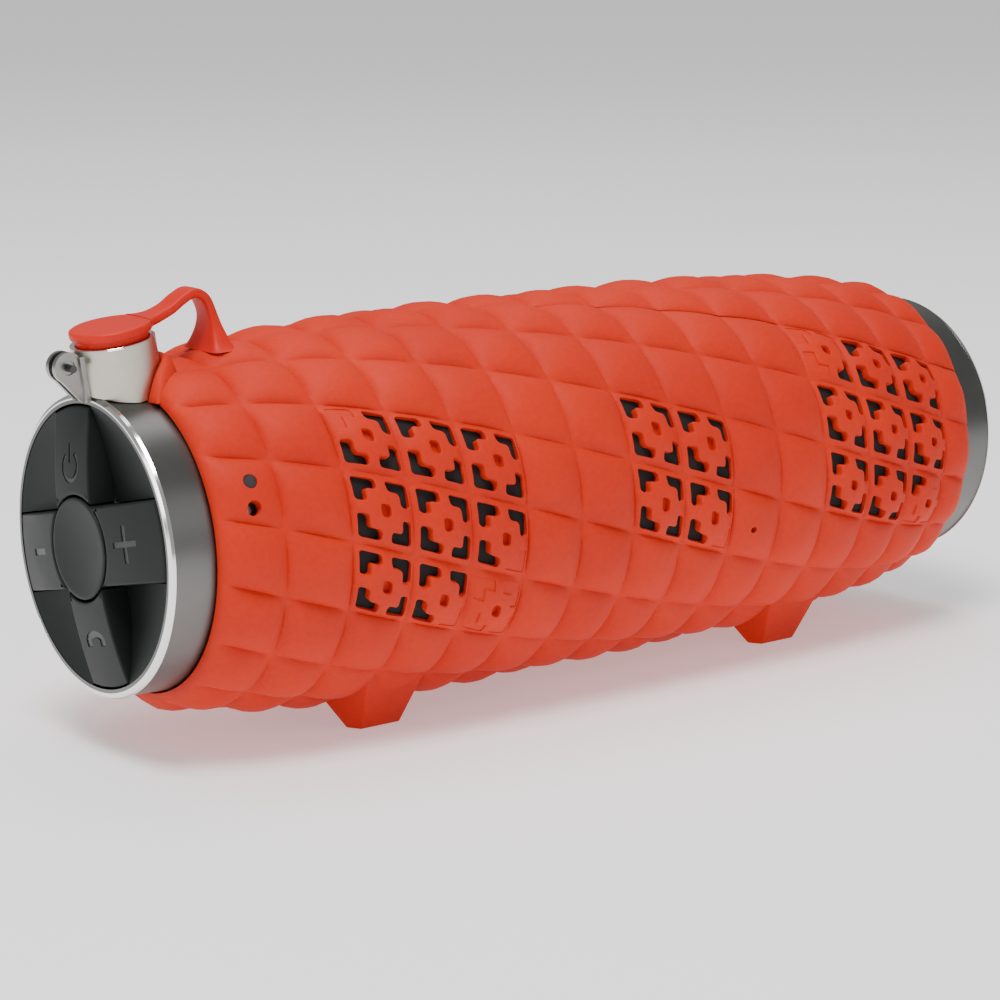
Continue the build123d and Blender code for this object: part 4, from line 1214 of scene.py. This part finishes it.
    def cowl(self) -> bpy.types.Object:
        """The sleeve's raised lobe that hugs the collar from behind."""
        r = self.radius
        outline = [(r + 0.15 * MM, -7 * MM), (r + 0.15 * MM, -1.0 * MM), (r + 0.35 * MM, -0.2 * MM),
                   (r + 0.8 * MM, 0.25 * MM), (r + 1.4 * MM, 0.2 * MM), (r + 2.0 * MM, -0.35 * MM),
                   (r + 2.6 * MM, -1.5 * MM), (r + 3.0 * MM, -3.2 * MM), (r + 3.2 * MM, -7 * MM)]
        spread = radians(84)
        bm = turned(outline, Matrix.Rotation(-spread, 4, "Z"), 64, 2 * spread)
        for vert in bm.verts:
            share = min(1.0, abs(atan2(vert.co.y, vert.co.x)) / spread)
            vert.co.z = (vert.co.z + 7 * MM) * (1 - 0.95 * share ** 5) - 7 * MM
        bmesh.ops.transform(bm, matrix=self.frame(self.barrel), verts=bm.verts[:])
        return finish_mesh(bm, "sleeve_cowl", Look.SLEEVE, sharp=50.0)

    def mouth_line(self) -> bpy.types.Object:
        """The polished edge at the collar's mouth."""
        r = self.radius
        outline = [(r - 1.0 * MM, self.top), (r - 0.9 * MM, self.top + 0.06 * MM),
                   (r - 0.25 * MM, self.top + 0.06 * MM),
                   (r + 0.02 * MM, self.top - 0.2 * MM), (r - 0.2 * MM, self.top - 0.25 * MM)]
        bm = turned(outline, self.frame(self.barrel), 96)
        return finish_mesh(bm, "collar_rim", Look.RIM, sharp=25.0)


# --------------------------------------------------------------------------- CAD finish
NODE_LOOKS: dict[Look, tuple[str, ...]] = {
    Look.HOUSING: ("housing_front", "housing_back"),
    Look.PLASTIC: ("keypad_frame", "rear_frame", "port_insert", "battery_cradle", "tact_switches",
                   "microphone_boot"),
    Look.KEYPAD: ("rear_pad",),
    Look.SCREW: ("housing_screws", "band_screws", "keypad_screws", "board_screws"),
    Look.BAND: ("front_band", "rear_band"),
    Look.BOARD: ("keypad_board", "port_board", "main_board"),
    Look.COLLAR: ("port_collar",),
    Look.LUG: ("strap_lugs",),
    Look.PIN: ("lug_pin",),
    Look.SOCKET: ("charge_socket", "audio_socket"),
    Look.BASKET: ("radiator_frame", "radiator_ring", "driver_rings", "left_driver_basket",
                  "right_driver_basket"),
    Look.STEEL: ("radiator_plate", "left_driver_yoke", "right_driver_yoke"),
    Look.FERRITE: ("left_driver_magnet", "right_driver_magnet"),
    Look.SURROUND: ("radiator_surround", "left_driver_surround", "right_driver_surround"),
    Look.PAPER: ("left_driver_cone", "right_driver_cone"),
    Look.DAMPER: ("left_driver_damper", "right_driver_damper"),
    Look.CLOTH: ("left_sound_cloth", "middle_sound_cloth", "right_sound_cloth"),
    Look.CELL: ("battery_cells",),
    Look.FOAM: ("battery_pad",),
    Look.CAN: ("capacitors", "bluetooth_module", "microphone"),
    Look.CHIP: ("amplifier_chip",),
    Look.RIBBON: ("keypad_ribbon",),
    Look.LENS: ("light_guide",),
}


@dataclass
class CadDress:
    """Puts finishes on the CAD nodes that stay."""

    def build(self) -> None:
        """Dresses every node named in the table."""
        for look, nodes in NODE_LOOKS.items():
            for node in nodes:
                self.dress(node, look)

    def dress(self, node: str, look: Look) -> None:
        """Gives one CAD node its material.

        Args:
            node: the node's name.
            look: its finish.
        """
        piece = bpy.data.objects[node]
        for slot in piece.material_slots:
            slot.material = look.material()
        if not piece.material_slots:
            piece.data.materials.append(look.material())
        LOG.info("%s: %s", node, look.value.name)


# -------------------------------------------------------------------------------- stage
@dataclass
class Stage:
    """Plain white floor, soft lights and the camera."""

    eye: Vector = Vector((-0.3954, -0.5052, 0.1734))
    target: Vector = Vector((0.0040, 0.0, 0.044))
    lens: float = 104.6
    shift: Point = (-0.038, -0.0226)

    def build(self) -> None:
        """Builds the whole stage."""
        self.floor()
        self.world()
        self.camera()
        self.light("key_light", (-0.45, -0.35, 1.3), 0.55, 19.0)
        self.light("fill_light", (0.5, -1.5, 0.8), 0.9, 2.5)
        self.light("top_light", (0.3, 0.5, 1.5), 1.0, 8.0)
        self.light("end_light", (-1.6, 0.3, 0.4), 0.5, 3.0)

    def floor(self) -> None:
        """A wide pale floor."""
        bm = bmesh.new()
        bmesh.ops.create_grid(bm, x_segments=1, y_segments=1, size=12.0)
        piece = finish_mesh(bm, "floor", Look.LENS, "")
        shader = Shader("white_floor")
        cloud = shader.noise(6.0, 2.0)
        shade = shader.blend(cloud, (0.90, 0.90, 0.90), (0.94, 0.94, 0.94))
        material = shader.close(Base_Color=shade, Roughness=0.7,
                                Emission_Color=(1.0, 1.0, 1.0, 1.0), Emission_Strength=0.4)
        piece.data.materials.clear()
        piece.data.materials.append(material)

    def world(self) -> None:
        """Even white surroundings."""
        world = bpy.data.worlds.new("studio")
        world.use_nodes = True
        ground = next(n for n in world.node_tree.nodes if n.type == "BACKGROUND")
        ground.inputs["Color"].default_value = (1.0, 1.0, 1.0, 1.0)
        ground.inputs["Strength"].default_value = 0.35
        bpy.context.scene.world = world

    def camera(self) -> None:
        """The camera."""
        data = bpy.data.cameras.new("camera")
        data.lens = self.lens
        data.sensor_width = 36.0
        data.shift_x, data.shift_y = self.shift
        camera = bpy.data.objects.new("camera", data)
        camera.location = self.eye
        camera.rotation_euler = (self.target - self.eye).to_track_quat("-Z", "Y").to_euler()
        bpy.context.scene.collection.objects.link(camera)
        bpy.context.scene.camera = camera

    def light(self, name: str, place: tuple[float, float, float], size: float, power: float) -> None:
        """A square soft light aimed at the speaker.

        Args:
            name: the lamp's name.
            place: where it stands.
            size: the length of its side.
            power: its power in watts.
        """
        data = bpy.data.lights.new(name, "AREA")
        data.size = size
        data.energy = power
        lamp = bpy.data.objects.new(name, data)
        lamp.location = place
        lamp.rotation_euler = (self.target - Vector(place)).to_track_quat("-Z", "Y").to_euler()
        bpy.context.scene.collection.objects.link(lamp)


def main() -> None:
    """Builds and dresses the whole speaker in order."""
    logging.basicConfig(level=logging.INFO, format="%(name)s: %(message)s")
    Stage().build()
    CadDress().build()
    barrel = Barrel.from_frame()
    Sleeve(barrel).build()
    Keypad(barrel).build()
    BandRims(barrel).build()
    Collar(barrel).build()


if __name__ == "__main__":
    main()
